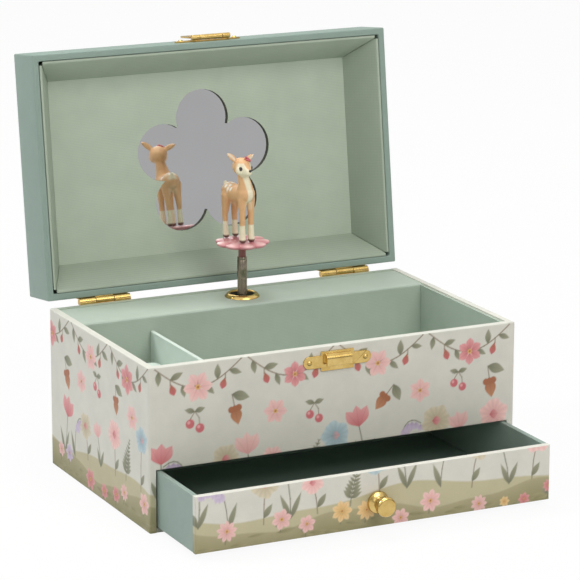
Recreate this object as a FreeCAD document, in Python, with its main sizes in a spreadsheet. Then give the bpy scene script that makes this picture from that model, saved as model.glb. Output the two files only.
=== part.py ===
"""Musical jewellery box: a papered case with a tray and a drawer, a mirror lid and a turning fawn.

Millimetres.  The origin is the middle of the underside, +X is right, +Y is back and +Z is up.
The box stands as it is shown in use: the lid leans on its stop and the drawer is pulled out.
"""
import FreeCAD
import Part
import Sketcher
import math
import os
import re

SIZES = {
    # Case
    "case_width": 190.0, "case_depth": 119.0, "case_height": 78.0,
    "case_board": 3.4, "bottom_board": 2.2, "drawer_bay": 27.5, "tray_floor_board": 2.5,
    "deck_depth": 33.0, "deck_board": 2.4, "deck_drop": 0.4, "housing_board": 2.0,
    "divider_board": 2.0, "left_tray_width": 34.0, "divider_drop": 7.5,
    "lining_card": 1.0, "lining_drop": 0.8,
    # Ring cushion
    "cushion_height": 26.6, "cushion_rear_gap": 6.0, "cushion_side_gap": 0.3,
    "cushion_rolls": 3, "roll_crown": 1.4, "roll_end": 7.0, "roll_end_drop": 3.4,
    # Drawer
    "drawer_gap": 0.7, "drawer_lift": 0.3, "drawer_top_gap": 0.5, "drawer_back_gap": 1.2,
    "drawer_front_board": 3.0, "drawer_side_board": 2.5, "drawer_bottom_board": 1.8,
    "drawer_pull": 41.6,
    "knob_length": 10.0, "knob_flange_radius": 5.3, "knob_flange": 1.1, "knob_head_radius": 4.7,
    "knob_head": 1.5, "knob_waist_radius": 2.9, "knob_flare": 1.9, "knob_drop": 1.6,
    "knob_screw_radius": 1.4, "knob_screw_reach": 6.0, "screw_head_radius": 2.6, "screw_head": 1.5,
    # Lid
    "lid_height": 24.6, "lid_board": 3.3, "lid_top_board": 2.6, "lid_rest_gap": 0.4,
    "lid_angle": 97.4, "liner_card": 1.2, "liner_drop": 0.3, "liner_gap": 0.15,
    "liner_inset": 14.6, "mirror_board": 1.5, "mirror_glass": 1.0,
    "petal_count": 5, "petal_radius": 13.6, "petal_reach": 21.3, "mirror_lap": 4.0,
    # Hinges
    "hinge_back": 2.0, "hinge_rise": 0.9, "hinge_inset": 29.5, "hinge_length": 26.6,
    "hinge_middle": 10.0, "hinge_knuckle_radius": 1.7, "hinge_pin_radius": 0.75,
    "hinge_leaf": 0.7, "hinge_leaf_height": 9.5, "hinge_gap": 0.25,
    # Clasp
    "clasp_width": 35.0, "clasp_height": 9.4, "clasp_block": 17.0, "clasp_ear_radius": 3.0,
    "clasp_plate": 0.8, "catch_drop": 7.0,
    "hook_width": 13.0, "hook_height": 5.6, "hook_reach": 2.6, "hook_lip": 1.2, "hook_rise": 1.0,
    "hasp_rise": 2.2, "hasp_sheet": 0.9, "hasp_width": 21.0,
    "hasp_length": 15.2, "hasp_window_width": 15.0, "hasp_window_height": 7.2, "hasp_bar": 3.0,
    "hasp_knuckle_radius": 1.25, "hasp_knuckle_width": 12.0, "hasp_lug_width": 4.0,
    "hasp_pin_radius": 0.65, "hasp_plate_rise": 6.2, "hasp_corner": 3.0, "hasp_shoulder_gap": 0.75,
    # Fits
    "running_fit": 0.05, "fixed_fit": 0.02,
    # Movement
    "tooth_module": 0.8, "crown_teeth": 24, "pinion_teeth": 10, "pinion_width": 1.8,
    "tooth_add": 0.6, "tooth_ded": 0.95, "tooth_root_share": 0.26, "tooth_tip_share": 0.1, "tooth_sink": 0.2,
    "barrel_drop": 23.2, "barrel_radius": 11.4,
    "barrel_gap": 0.4, "arbor_radius": 1.5, "bedplate": 2.0,
    "bedplate_left": 16.0, "bedplate_right": 54.0, "bedplate_lift": 0.8, "bedplate_top_gap": 2.2,
    "bearing_sheet": 1.6, "bearing_margin": 2.4, "cylinder_gap": 0.7,
    "cylinder_radius": 6.4, "cylinder_length": 24.0, "cylinder_arbor_radius": 1.0,
    "pin_height": 0.8, "pin_side": 0.5, "tracks": 14, "pins_per_track": 1,
    "fine_module": 0.7, "wheel_teeth": 20, "wheel_width": 1.8, "wheel_add": 0.45, "wheel_ded": 0.7,
    "worm_wheel_teeth": 14, "worm_radius": 1.2, "worm_gap": 0.2, "governor_arbor_radius": 0.8,
    "fan_radius": 4.5, "fan_length": 4.8, "fan_sheet": 0.4, "fan_shaft_radius": 0.6,
    "comb_gap": 0.15, "comb_base_share": 0.4635, "comb_thick": 2.4, "comb_tooth_sheet": 0.5,
    "comb_slot_share": 0.3, "comb_margin": 0.5,
    "key_hole_radius": 2.6, "key_standoff": 2.0, "key_hub_radius": 3.2, "key_hub_length": 9.0,
    "key_wing_radius": 6.2,
    "key_wing_reach": 7.6, "key_sheet": 2.0, "key_eye_radius": 2.6,
    # Figure
    "grommet_radius": 8.5, "grommet_bore": 4.4, "grommet_sleeve": 0.8, "grommet_throat": 0.8,
    "grommet_lip": 2.2, "grommet_crest": 6.3,
    "spindle_radius": 1.5, "spindle_peg_radius": 1.0, "spindle_peg": 3.5, "spindle_foot": 1.0,
    "spindle_collar_radius": 2.6, "spindle_collar": 1.5, "spindle_bracket": 2.5,
    "spindle_bracket_gap": 2.5, "spindle_bracket_half": 4.0, "spindle_shoulder_drop": 3.6,
    "fold_rise": 5.6, "stem_radius": 2.4, "stem_wall": 0.55, "stem_skirt": 4.4,
    "stem_height": 18.9, "stem_seam": 0.5,
    "tilt_spring_wall": 0.6, "tilt_spring_height": 10.4,
    "stand_rise": 25.2, "stand_thick": 3.0, "stand_petals": 8, "stand_petal_radius": 4.7,
    "stand_petal_reach": 8.8, "stand_stub_depth": 13.0, "fawn_height": 46.0,
}

# How far a cut runs past the face that it opens
PAST = "1"

# Derived places, each an expression of the sheet's own names
INNER_X = "(case_width / 2 - case_board)"
FRONT = "(-case_depth / 2)"
BACK = "(case_depth / 2)"
INNER_FRONT = f"({FRONT} + case_board)"
INNER_BACK = f"({BACK} - case_board)"
BAY_TOP = "(bottom_board + drawer_bay)"
TRAY_FLOOR = f"({BAY_TOP} + tray_floor_board)"
DECK_TOP = "(case_height - deck_drop)"
DECK_UNDER = f"({DECK_TOP} - deck_board)"
DECK_FRONT = f"({BACK} - deck_depth)"
HOUSING_BACK = f"({DECK_FRONT} + housing_board)"
TRAY_X = f"({INNER_X} - lining_card)"
TRAY_FRONT = f"({INNER_FRONT} + lining_card)"
DIVIDER_X = f"(-{TRAY_X} + left_tray_width)"
HINGE_X = "(case_width / 2 - hinge_inset)"
HINGE_Y = f"({BACK} + hinge_back)"
HINGE_Z = "(case_height + hinge_rise)"

doc = FreeCAD.newDocument("musical_jewellery_box")
dims = doc.addObject("Spreadsheet::Sheet", "dims")
for row, (name, number) in enumerate(SIZES.items(), start=1):
    dims.set(f"A{row}", name)
    dims.set(f"B{row}", str(number))
    dims.setAlias(f"B{row}", name)
doc.recompute()

nodes = []


def linked(text):
    """The expression with every sheet name written as a cell of the sheet."""
    return re.sub(r"\b[a-z][a-z_]+\b", lambda word: "dims." + word.group() if word.group() in SIZES
                  else word.group(), str(text))


def size(text):
    """The present value of an expression of the sheet's names."""
    return float(dims.evalExpression(linked(text)))


def bind(thing, **expressions):
    """Tie the thing's properties to expressions of the sheet's names."""
    for name, text in expressions.items():
        thing.setExpression(name, linked(text))


def bind_place(thing, at, holder="Placement"):
    """Tie a placement's position to three expressions."""
    for axis, text in zip("xyz", at):
        thing.setExpression(f"{holder}.Base.{axis}", linked(text))


def new_body(label, at=("0", "0", "0"), axis=(0, 0, 1), angle="0"):
    """A named sub-part whose own frame stands at a place and is turned about an axis."""
    body = doc.addObject("PartDesign::Body", label)
    body.Label = label
    turned = FreeCAD.Rotation(FreeCAD.Vector(*axis), size(angle))
    body.Placement = FreeCAD.Placement(FreeCAD.Vector(), turned)
    if angle != "0":
        body.setExpression("Placement.Rotation.Angle", linked(angle))
    bind_place(body, at)
    nodes.append(body)
    return body


def lid_body(label):
    """A sub-part of the lid, drawn shut about the hinge axis and then swung open."""
    return new_body(label, ("0", HINGE_Y, HINGE_Z), (-1, 0, 0), "lid_angle")


def box(body, x, y, z, cut=False):
    """Add or cut a block between pairs of expressions."""
    block = body.newObject("PartDesign::SubtractiveBox" if cut else "PartDesign::AdditiveBox", "block")
    low_corner = [side[0] for side in (x, y, z)]
    for length, (low, high) in zip(("Length", "Width", "Height"), (x, y, z)):
        bind(block, **{length: f"({high}) - ({low})"})
    bind_place(block, low_corner)
    return block


TURNS = {"+x": ((0, 1, 0), 90), "-x": ((0, 1, 0), -90), "+y": ((1, 0, 0), -90), "-y": ((1, 0, 0), 90),
         "+z": ((0, 0, 1), 0), "-z": ((1, 0, 0), 180)}


def rod(body, radius, length, at, along="+z", cut=False):
    """Add or cut a round bar that starts at a place and runs along an axis."""
    bar = body.newObject("PartDesign::SubtractiveCylinder" if cut else "PartDesign::AdditiveCylinder", "bar")
    axis, angle = TURNS[along]
    bar.Placement = FreeCAD.Placement(FreeCAD.Vector(), FreeCAD.Rotation(FreeCAD.Vector(*axis), angle))
    bind(bar, Radius=radius, Height=length)
    bind_place(bar, at)
    return bar


def bore(body, radius, length, at, along="+z"):
    """Cut a round hole right through, past the faces at both its ends."""
    start = list(at)
    axis = "xyz".index(along[1])
    start[axis] = f"{at[axis]} - ({along[0]}{PAST})"
    return rod(body, radius, f"{length} + 2 * {PAST}", start, along, cut=True)


def plane_of(body, role):
    """One of the body's own origin planes."""
    return next(plane for plane in body.Origin.OriginFeatures if plane.Role == role)


def sketch(body, role, *outlines, lift="0"):
    """A sketch on an origin plane.  An outline is a list of corners (x, y) or (x, y, radius): the
    radius bends the side that leaves the corner, to the left with a plus sign."""
    drawing = body.newObject("Sketcher::SketchObject", "sketch")
    drawing.AttachmentSupport = [(plane_of(body, role), "")]
    drawing.MapMode = "FlatFace"
    drawing.setExpression("AttachmentOffset.Base.z", linked(lift))
    for outline in outlines:
        draw_outline(drawing, outline)
    doc.recompute()
    return drawing


def limit(drawing, kind, place, text):
    """One dimension of a sketch, tied to an expression."""
    index = drawing.addConstraint(Sketcher.Constraint(kind, *place, size(text)))
    drawing.setExpression(f"Constraints[{index}]", linked(text))


def draw_outline(drawing, outline):
    """Draw a closed outline of straight sides and arcs, with every corner dimensioned."""
    corners = [FreeCAD.Vector(size(corner[0]), size(corner[1]), 0) for corner in outline]
    sides = []
    for corner, start, end in zip(outline, corners, corners[1:] + corners[:1]):
        if len(corner) == 2:
            sides.append((drawing.addGeometry(Part.LineSegment(start, end)), 1, 2))
            continue
        bend = size(corner[2])
        chord = end - start
        left = FreeCAD.Vector(-chord.y, chord.x, 0).normalize()
        depth = math.sqrt(max(bend * bend - chord.Length ** 2 / 4, 0.0))
        centre = (start + end) * 0.5 + left * math.copysign(depth, bend)
        circle = Part.Circle(centre, FreeCAD.Vector(0, 0, 1), abs(bend))
        first, last = (start, end) if bend > 0 else (end, start)
        arc = Part.ArcOfCircle(circle, circle.parameter(first), circle.parameter(last))
        curve = drawing.addGeometry(arc)
        sides.append((curve, 1, 2) if bend > 0 else (curve, 2, 1))
    for (side, _, end), (following, start, _) in zip(sides, sides[1:] + sides[:1]):
        drawing.addConstraint(Sketcher.Constraint("Coincident", side, end, following, start))
    for corner, (side, start, _) in zip(outline, sides):
        limit(drawing, "DistanceX", (-1, 1, side, start), corner[0])
        limit(drawing, "DistanceY", (-1, 1, side, start), corner[1])
        if len(corner) == 3:
            limit(drawing, "Radius", (side,), f"abs({corner[2]})")


def pad(body, drawing, length, reverse=False):
    """Thicken a sketch."""
    plate = body.newObject("PartDesign::Pad", "pad")
    plate.Profile = drawing
    plate.Reversed = reverse
    bind(plate, Length=length)
    doc.recompute()
    return plate


def turn(body, profile):
    """A turned piece: the outline's x is the radius and its y the height along the axis."""
    drawing = sketch(body, "XZ_Plane", profile)
    solid = body.newObject("PartDesign::Revolution", "turning")
    solid.Profile = drawing
    solid.ReferenceAxis = (drawing, ["V_Axis"])
    solid.Angle = 360
    doc.recompute()
    return solid


def round_pattern(body, feature, count):
    """Repeat a feature round the body's own Z axis."""
    doc.recompute()
    pattern = body.newObject("PartDesign::PolarPattern", "round_pattern")
    pattern.Originals = [feature]
    pattern.Axis = (next(axis for axis in body.Origin.OriginFeatures if axis.Role == "Z_Axis"), [""])
    pattern.Angle = 360
    bind(pattern, Occurrences=count)
    body.Tip = pattern
    doc.recompute()


def rectangle(x, y):
    """A four-cornered outline between pairs of expressions."""
    return [(x[0], y[0]), (x[1], y[0]), (x[1], y[1]), (x[0], y[1])]


# Case of papered board: two side walls, a back and a front panel between them, a bottom and a tray floor
for side, sign in (("left", "-1"), ("right", "1")):
    wall = new_body(f"base_{side}_wall")
    outer = f"{sign} * case_width / 2"
    inner = f"{sign} * {INNER_X}"
    span = (outer, inner) if side == "left" else (inner, outer)
    box(wall, span, (FRONT, BACK), ("0", "case_height"))

back_wall = new_body("base_back_wall")
box(back_wall, (f"-{INNER_X}", INNER_X), (INNER_BACK, BACK), ("0", "case_height"))

bottom = new_body("base_bottom_board")
box(bottom, (f"-{INNER_X}", INNER_X), (FRONT, INNER_BACK), ("0", "bottom_board"))

front_panel = new_body("base_front_panel")
box(front_panel, (f"-{INNER_X}", INNER_X), (FRONT, INNER_FRONT), (BAY_TOP, "case_height"))

tray_floor = new_body("tray_floor_board")
box(tray_floor, (f"-{INNER_X}", INNER_X), (INNER_FRONT, INNER_BACK), (BAY_TOP, TRAY_FLOOR))

# Closed housing along the back: a front board and the deck that the figure stands on
housing = new_body("housing_front_board")
box(housing, (f"-{INNER_X}", INNER_X), (DECK_FRONT, HOUSING_BACK), (TRAY_FLOOR, DECK_UNDER))

deck = new_body("deck_board")
SPINDLE_Y = f"({BACK} - deck_depth / 2)"
box(deck, (f"-{INNER_X}", INNER_X), (DECK_FRONT, INNER_BACK), (DECK_UNDER, DECK_TOP))
bore(deck, "grommet_bore + grommet_sleeve + fixed_fit", "deck_board", ("0", SPINDLE_Y, DECK_UNDER))

# Tray: lining cards on the walls, a divider and the ring cushion of the narrow left compartment
lining = new_body("tray_lining")
LINING_TOP = "(case_height - lining_drop)"
box(lining, (f"-{INNER_X}", f"-{TRAY_X}"), (INNER_FRONT, DECK_FRONT), (TRAY_FLOOR, LINING_TOP))
box(lining, (TRAY_X, INNER_X), (INNER_FRONT, DECK_FRONT), (TRAY_FLOOR, LINING_TOP))
box(lining, (f"-{TRAY_X}", TRAY_X), (INNER_FRONT, TRAY_FRONT), (TRAY_FLOOR, LINING_TOP))

divider = new_body("tray_divider")
box(divider, (DIVIDER_X, f"{DIVIDER_X} + divider_board"), (TRAY_FRONT, DECK_FRONT),
    (TRAY_FLOOR, "case_height - divider_drop"))

# Cushion: a row of rolls, each with a crown, drawn down towards both ends
CUSHION_LEFT = f"(-{TRAY_X} + cushion_side_gap)"
ROLL = "((left_tray_width - 2 * cushion_side_gap) / cushion_rolls)"
ROLL_BEND = f"(({ROLL} / 2)^2 + roll_crown^2) / (2 * roll_crown)"
CUSHION_SHOULDER = "(cushion_height - roll_crown)"
CUSHION_LENGTH = f"({DECK_FRONT} - cushion_rear_gap - {TRAY_FRONT} - cushion_side_gap)"
END_TOP = "(cushion_height - roll_end_drop)"
cushion = new_body("ring_cushion", ("0", f"{TRAY_FRONT} + cushion_side_gap", TRAY_FLOOR))
cushion_outline = [(CUSHION_LEFT, "0"), (f"{CUSHION_LEFT} + cushion_rolls * {ROLL}", "0")]
for step in range(int(SIZES["cushion_rolls"]), 0, -1):
    cushion_outline.append((f"{CUSHION_LEFT} + {step} * {ROLL}", CUSHION_SHOULDER, ROLL_BEND))
cushion_outline.append((CUSHION_LEFT, CUSHION_SHOULDER))
pad(cushion, sketch(cushion, "XZ_Plane", cushion_outline), CUSHION_LENGTH, reverse=True)
front_end = [(f"-{PAST}", END_TOP), ("0", END_TOP), ("roll_end", "cushion_height"),
             (f"-{PAST}", f"cushion_height + {PAST}")]
rear_end = [(f"{CUSHION_LENGTH} - ({along})", rise) for along, rise in front_end]
before = cushion.Shape.Volume
drawn_ends = cushion.newObject("PartDesign::Pocket", "drawn_ends")
drawn_ends.Profile = sketch(cushion, "YZ_Plane", front_end, rear_end, lift=CUSHION_LEFT)
drawn_ends.Reversed = True
bind(drawn_ends, Length="left_tray_width")
doc.recompute()
if cushion.Shape.Volume >= before:
    raise RuntimeError("the cushion's ends are not drawn down")

# Drawer: five boards, open at the top, drawn at its place when pulled out
DRAWER_X = f"({INNER_X} - drawer_gap)"
DRAWER_FRONT = f"({FRONT} - drawer_pull)"
DRAWER_BACK = f"({INNER_BACK} - drawer_back_gap - drawer_pull)"
DRAWER_LOW = "(bottom_board + drawer_lift)"
DRAWER_TOP = f"({BAY_TOP} - drawer_top_gap)"
DRAWER_INNER_FRONT = f"({DRAWER_FRONT} + drawer_front_board)"
DRAWER_INNER_BACK = f"({DRAWER_BACK} - drawer_side_board)"
DRAWER_INNER_X = f"({DRAWER_X} - drawer_side_board)"
KNOB_Z = f"(({DRAWER_LOW} + {DRAWER_TOP}) / 2 - knob_drop)"

drawer_front = new_body("drawer_front")
box(drawer_front, (f"-{DRAWER_X}", DRAWER_X), (DRAWER_FRONT, DRAWER_INNER_FRONT), (DRAWER_LOW, DRAWER_TOP))
bore(drawer_front, "knob_screw_radius + running_fit", "drawer_front_board", ("0", DRAWER_FRONT, KNOB_Z), "+y")
for side, sign in (("left", "-"), ("right", "")):
    board = new_body(f"drawer_{side}_side")
    inner, outer = f"{sign}{DRAWER_INNER_X}", f"{sign}{DRAWER_X}"
    span = (outer, inner) if side == "left" else (inner, outer)
    box(board, span, (DRAWER_INNER_FRONT, DRAWER_BACK), (DRAWER_LOW, DRAWER_TOP))
drawer_back = new_body("drawer_back")
box(drawer_back, (f"-{DRAWER_INNER_X}", DRAWER_INNER_X), (DRAWER_INNER_BACK, DRAWER_BACK),
    (DRAWER_LOW, DRAWER_TOP))
drawer_bottom = new_body("drawer_bottom")
box(drawer_bottom, (f"-{DRAWER_INNER_X}", DRAWER_INNER_X), (DRAWER_INNER_FRONT, DRAWER_INNER_BACK),
    (DRAWER_LOW, f"{DRAWER_LOW} + drawer_bottom_board"))

# Turned brass knob with a waist, held by a screw from inside the drawer
knob = new_body("drawer_knob", ("0", DRAWER_FRONT, KNOB_Z), (1, 0, 0), "90")
turn(knob, [("0", "0"), ("knob_flange_radius", "0"), ("knob_flange_radius", "knob_flange"),
            ("knob_waist_radius", "knob_flange + knob_flare"),
            ("knob_waist_radius", "knob_length - knob_head - knob_flare"),
            ("knob_head_radius", "knob_length - knob_head"), ("knob_head_radius", "knob_length"),
            ("0", "knob_length")])
rod(knob, "knob_screw_radius + fixed_fit", f"knob_screw_reach - drawer_front_board + {PAST}", ("0", "0", "0"),
    cut=True)
screw = new_body("knob_screw", ("0", DRAWER_INNER_FRONT, KNOB_Z), (1, 0, 0), "90")
rod(screw, "knob_screw_radius", "knob_screw_reach", ("0", "0", "0"))
rod(screw, "screw_head_radius", "screw_head", ("0", "0", "0"), "-z")

# Lid: a shallow tray of boards, hinged at the back.  Its own frame has the hinge axis as the X axis
LID_BACK = "(-hinge_back)"
LID_FRONT = "(-hinge_back - case_depth)"
LID_RIM = "(lid_rest_gap - hinge_rise)"
LID_TOP = f"({LID_RIM} + lid_height)"
LID_CEILING = f"({LID_TOP} - lid_top_board)"
LID_INNER_X = "(case_width / 2 - lid_board)"
LID_INNER_BACK = f"({LID_BACK} - lid_board)"
LID_INNER_FRONT = f"({LID_FRONT} + lid_board)"
LID_MIDDLE = "(-hinge_back - case_depth / 2)"
MIRROR_FACE = f"({LID_CEILING} - mirror_glass)"
BOARD_FACE = f"({MIRROR_FACE} - mirror_board)"

lid_top = lid_body("lid_top_board")
box(lid_top, ("-case_width / 2", "case_width / 2"), (LID_FRONT, LID_BACK), (LID_CEILING, LID_TOP))
lid_front = lid_body("lid_front_wall")
box(lid_front, (f"-{LID_INNER_X}", LID_INNER_X), (LID_FRONT, LID_INNER_FRONT), (LID_RIM, LID_CEILING))
lid_back = lid_body("lid_back_wall")
box(lid_back, (f"-{LID_INNER_X}", LID_INNER_X), (LID_INNER_BACK, LID_BACK), (LID_RIM, LID_CEILING))
lid_sides = (("left", ("-case_width / 2", f"-{LID_INNER_X}")), ("right", (LID_INNER_X, "case_width / 2")))
for side, span in lid_sides:
    wall = lid_body(f"lid_{side}_wall")
    box(wall, span, (LID_FRONT, LID_BACK), (LID_RIM, LID_CEILING))

# Liner of folded card that slopes from the rim to the mirror board on all four sides
LINER_RIM = f"({LID_RIM} + liner_drop)"
RIM_X = f"({LID_INNER_X} - liner_gap)"
RIM_Y = "(case_depth / 2 - lid_board - liner_gap)"
SEAT_X = "(case_width / 2 - liner_inset + liner_card)"
SEAT_Y = "(case_depth / 2 - liner_inset + liner_card)"


def funnel(body, shrink, cut):
    """Add or cut a four-sided funnel that narrows from the rim to the seat."""
    block = body.newObject("PartDesign::SubtractiveWedge" if cut else "PartDesign::AdditiveWedge", "funnel")
    block.Placement = FreeCAD.Placement(FreeCAD.Vector(), FreeCAD.Rotation(FreeCAD.Vector(1, 0, 0), 90))
    bind_place(block, ("0", LID_MIDDLE, "0"))
    bind(block, Ymin=LINER_RIM, Ymax=BOARD_FACE)
    for low, high, half in (("Xmin", "Xmax", RIM_X), ("Zmin", "Zmax", RIM_Y),
                            ("X2min", "X2max", SEAT_X), ("Z2min", "Z2max", SEAT_Y)):
        bind(block, **{high: f"{half} - {shrink}", low: f"{shrink} - {half}"})


liner = lid_body("lid_liner")
funnel(liner, "0", False)
funnel(liner, "liner_card", True)

# Board with a five-petalled opening, and the mirror behind it
board = lid_body("mirror_board")
BOARD_X = f"({LID_INNER_X} - liner_gap)"
BOARD_Y = "(case_depth / 2 - lid_board - liner_gap)"
HALF_PETAL = "(180 / petal_count)"
PETAL_TIP = "(petal_reach + petal_radius)"
PETAL_NOTCH = f"(petal_reach * cos({HALF_PETAL}) + sqrt(petal_radius^2 - (petal_reach * sin({HALF_PETAL}))^2))"
flower = []
for petal in range(int(SIZES["petal_count"])):
    aim = f"(90 + {2 * petal} * {HALF_PETAL})"
    gap = f"(90 + {2 * petal + 1} * {HALF_PETAL})"
    flower.append((f"{PETAL_TIP} * cos({aim})", f"{LID_MIDDLE} - {PETAL_TIP} * sin({aim})", "-petal_radius"))
    flower.append((f"{PETAL_NOTCH} * cos({gap})", f"{LID_MIDDLE} - {PETAL_NOTCH} * sin({gap})",
                   "-petal_radius"))
board_outline = rectangle((f"-{BOARD_X}", BOARD_X), (f"{LID_MIDDLE} - {BOARD_Y}", f"{LID_MIDDLE} + {BOARD_Y}"))
pad(board, sketch(board, "XY_Plane", board_outline, flower, lift=BOARD_FACE), "mirror_board")
mirror = lid_body("mirror")
MIRROR_HALF = f"({PETAL_TIP} + mirror_lap)"
box(mirror, (f"-{MIRROR_HALF}", MIRROR_HALF),
    (f"{LID_MIDDLE} - {MIRROR_HALF}", f"{LID_MIDDLE} + {MIRROR_HALF}"), (MIRROR_FACE, LID_CEILING))

# Pair of brass hinges: the base leaf has the two outer knuckles and the lid leaf the middle one
KNUCKLE_BORE = "(hinge_pin_radius + running_fit)"
HALF_MIDDLE = "(hinge_middle / 2)"
HALF_HINGE = "(hinge_length / 2)"
LEAF_START = "(hinge_knuckle_radius + hinge_gap)"
LEAF_Y = (LID_BACK, f"{LID_BACK} + hinge_leaf")
TONGUE = f"({HALF_MIDDLE} - hinge_gap)"
hinge_pins = new_body("hinge_pins")
for side, sign in (("left", "-1"), ("right", "1")):
    middle = f"({sign} * {HINGE_X})"
    rod(hinge_pins, "hinge_pin_radius", "hinge_length", (f"{middle} - {HALF_HINGE}", HINGE_Y, HINGE_Z), "+x")
    base_leaf = new_body(f"{side}_hinge_base_leaf", (middle, HINGE_Y, HINGE_Z))
    box(base_leaf, (f"-{HALF_HINGE}", HALF_HINGE), LEAF_Y, ("-hinge_leaf_height", f"-{LEAF_START}"))
    for low, high in ((f"-{HALF_HINGE}", f"-{HALF_MIDDLE}"), (HALF_MIDDLE, HALF_HINGE)):
        box(base_leaf, (low, high), LEAF_Y, (f"-{LEAF_START}", "0"))
        rod(base_leaf, "hinge_knuckle_radius", f"{HALF_HINGE} - {HALF_MIDDLE}", (low, "0", "0"), "+x")
    bore(base_leaf, KNUCKLE_BORE, "hinge_length", (f"-{HALF_HINGE}", "0", "0"), "+x")
    lid_leaf = new_body(f"{side}_hinge_lid_leaf", (middle, HINGE_Y, HINGE_Z), (-1, 0, 0), "lid_angle")
    box(lid_leaf, (f"-{HALF_HINGE}", HALF_HINGE), LEAF_Y, (LEAF_START, "hinge_leaf_height"))
    box(lid_leaf, (f"-{TONGUE}", TONGUE), LEAF_Y, ("0", LEAF_START))
    rod(lid_leaf, "hinge_knuckle_radius", f"2 * {TONGUE}", (f"-{TONGUE}", "0", "0"), "+x")
    bore(lid_leaf, KNUCKLE_BORE, f"2 * {TONGUE}", (f"-{TONGUE}", "0", "0"), "+x")

# Clasp: a plate with two nailed ears on the case carries the hook, and one on the lid carries the hasp
EAR_X = "(clasp_width / 2 - clasp_ear_radius)"
BLOCK_X = "(clasp_block / 2)"
BLOCK_Z = "(clasp_height / 2)"


def clasp_outline(rise):
    """A block with a round-ended ear at each side, about the height where it is nailed."""
    ear = "clasp_ear_radius"
    low, high = f"{rise} - {BLOCK_Z}", f"{rise} + {BLOCK_Z}"
    ear_low, ear_high = f"{rise} - {ear}", f"{rise} + {ear}"
    return [(f"-{BLOCK_X}", low), (BLOCK_X, low), (BLOCK_X, ear_low), (EAR_X, ear_low, ear),
            (f"{EAR_X} + {ear}", rise, ear), (EAR_X, ear_high), (BLOCK_X, ear_high), (BLOCK_X, high),
            (f"-{BLOCK_X}", high), (f"-{BLOCK_X}", ear_high), (f"-{EAR_X}", ear_high, ear),
            (f"-{EAR_X} - {ear}", rise, ear), (f"-{EAR_X}", ear_low), (f"-{BLOCK_X}", ear_low)]


CATCH_Z = "(case_height - catch_drop)"
HOOK_Z = f"({CATCH_Z} + hook_rise)"
HOOK_LOW = f"({HOOK_Z} - hook_height / 2)"
HOOK_HIGH = f"({HOOK_Z} + hook_height / 2)"
HOOK_TIP = "(-clasp_plate - hook_reach)"
catch = new_body("catch_plate", ("0", FRONT, "0"))
pad(catch, sketch(catch, "XZ_Plane", clasp_outline(CATCH_Z)), "clasp_plate")
hook_profile = [("0", f"{HOOK_LOW} + hook_lip"), (f"{HOOK_TIP} + hook_lip", f"{HOOK_LOW} + hook_lip"),
                (f"{HOOK_TIP} + hook_lip", HOOK_LOW), (HOOK_TIP, HOOK_LOW),
                (HOOK_TIP, f"{HOOK_HIGH} - hook_reach", "-hook_reach"), ("-clasp_plate", HOOK_HIGH),
                ("0", HOOK_HIGH)]
pad(catch, sketch(catch, "YZ_Plane", hook_profile, lift="-hook_width / 2"), "hook_width")

HASP_Y = f"({LID_FRONT} - clasp_plate - hasp_knuckle_radius - hinge_gap)"
HASP_Z = f"({LID_RIM} + hasp_rise)"
PLATE_Z = f"({LID_RIM} + hasp_plate_rise)"
LUG_IN = "(hasp_knuckle_width / 2 + hinge_gap)"
LUG_OUT = f"({LUG_IN} + hasp_lug_width)"
hasp_plate = lid_body("hasp_plate")
pad(hasp_plate, sketch(hasp_plate, "XZ_Plane", clasp_outline(PLATE_Z), lift=f"-{LID_FRONT}"), "clasp_plate")
for low, high in ((f"-{LUG_OUT}", f"-{LUG_IN}"), (LUG_IN, LUG_OUT)):
    rod(hasp_plate, "hasp_knuckle_radius", "hasp_lug_width", (low, HASP_Y, HASP_Z), "+x")
    box(hasp_plate, (low, high), (HASP_Y, f"{LID_FRONT} - clasp_plate"),
        (HASP_Z, f"{HASP_Z} + hasp_knuckle_radius"))
    box(hasp_plate, (low, high), (f"{LID_FRONT} - clasp_plate", LID_FRONT), (HASP_Z, PLATE_Z))
bore(hasp_plate, "hasp_pin_radius + running_fit", f"2 * {LUG_OUT}", (f"-{LUG_OUT}", HASP_Y, HASP_Z), "+x")
hasp_pin = lid_body("hasp_pin")
rod(hasp_pin, "hasp_pin_radius", f"2 * {LUG_OUT}", (f"-{LUG_OUT}", HASP_Y, HASP_Z), "+x")

# Hasp flap: a loop of sheet brass, rolled round its pin and laid back on the lid
hasp = lid_body("hasp_flap")
KNUCKLE_X = "(hasp_knuckle_width / 2)"
HASP_X = "(hasp_width / 2)"
HASP_END = f"({HASP_Z} + hasp_length)"
SHOULDER_Z = f"({HASP_Z} + hasp_knuckle_radius + hasp_shoulder_gap)"
CORNER_Z = f"({HASP_END} - hasp_corner)"
hasp_outline = [(f"-{KNUCKLE_X}", HASP_Z), (KNUCKLE_X, HASP_Z), (KNUCKLE_X, SHOULDER_Z), (HASP_X, SHOULDER_Z),
                (HASP_X, CORNER_Z, "hasp_corner"), (f"{HASP_X} - hasp_corner", HASP_END),
                (f"-{HASP_X} + hasp_corner", HASP_END, "hasp_corner"), (f"-{HASP_X}", CORNER_Z),
                (f"-{HASP_X}", SHOULDER_Z), (f"-{KNUCKLE_X}", SHOULDER_Z)]
WINDOW_TOP = f"({HASP_END} - hasp_bar)"
window = rectangle(("-hasp_window_width / 2", "hasp_window_width / 2"),
                   (f"{WINDOW_TOP} - hasp_window_height", WINDOW_TOP))
pad(hasp, sketch(hasp, "XZ_Plane", hasp_outline, window, lift=f"-{HASP_Y} - hasp_sheet / 2"), "hasp_sheet")
rod(hasp, "hasp_knuckle_radius", "hasp_knuckle_width", (f"-{KNUCKLE_X}", HASP_Y, HASP_Z), "+x")
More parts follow.
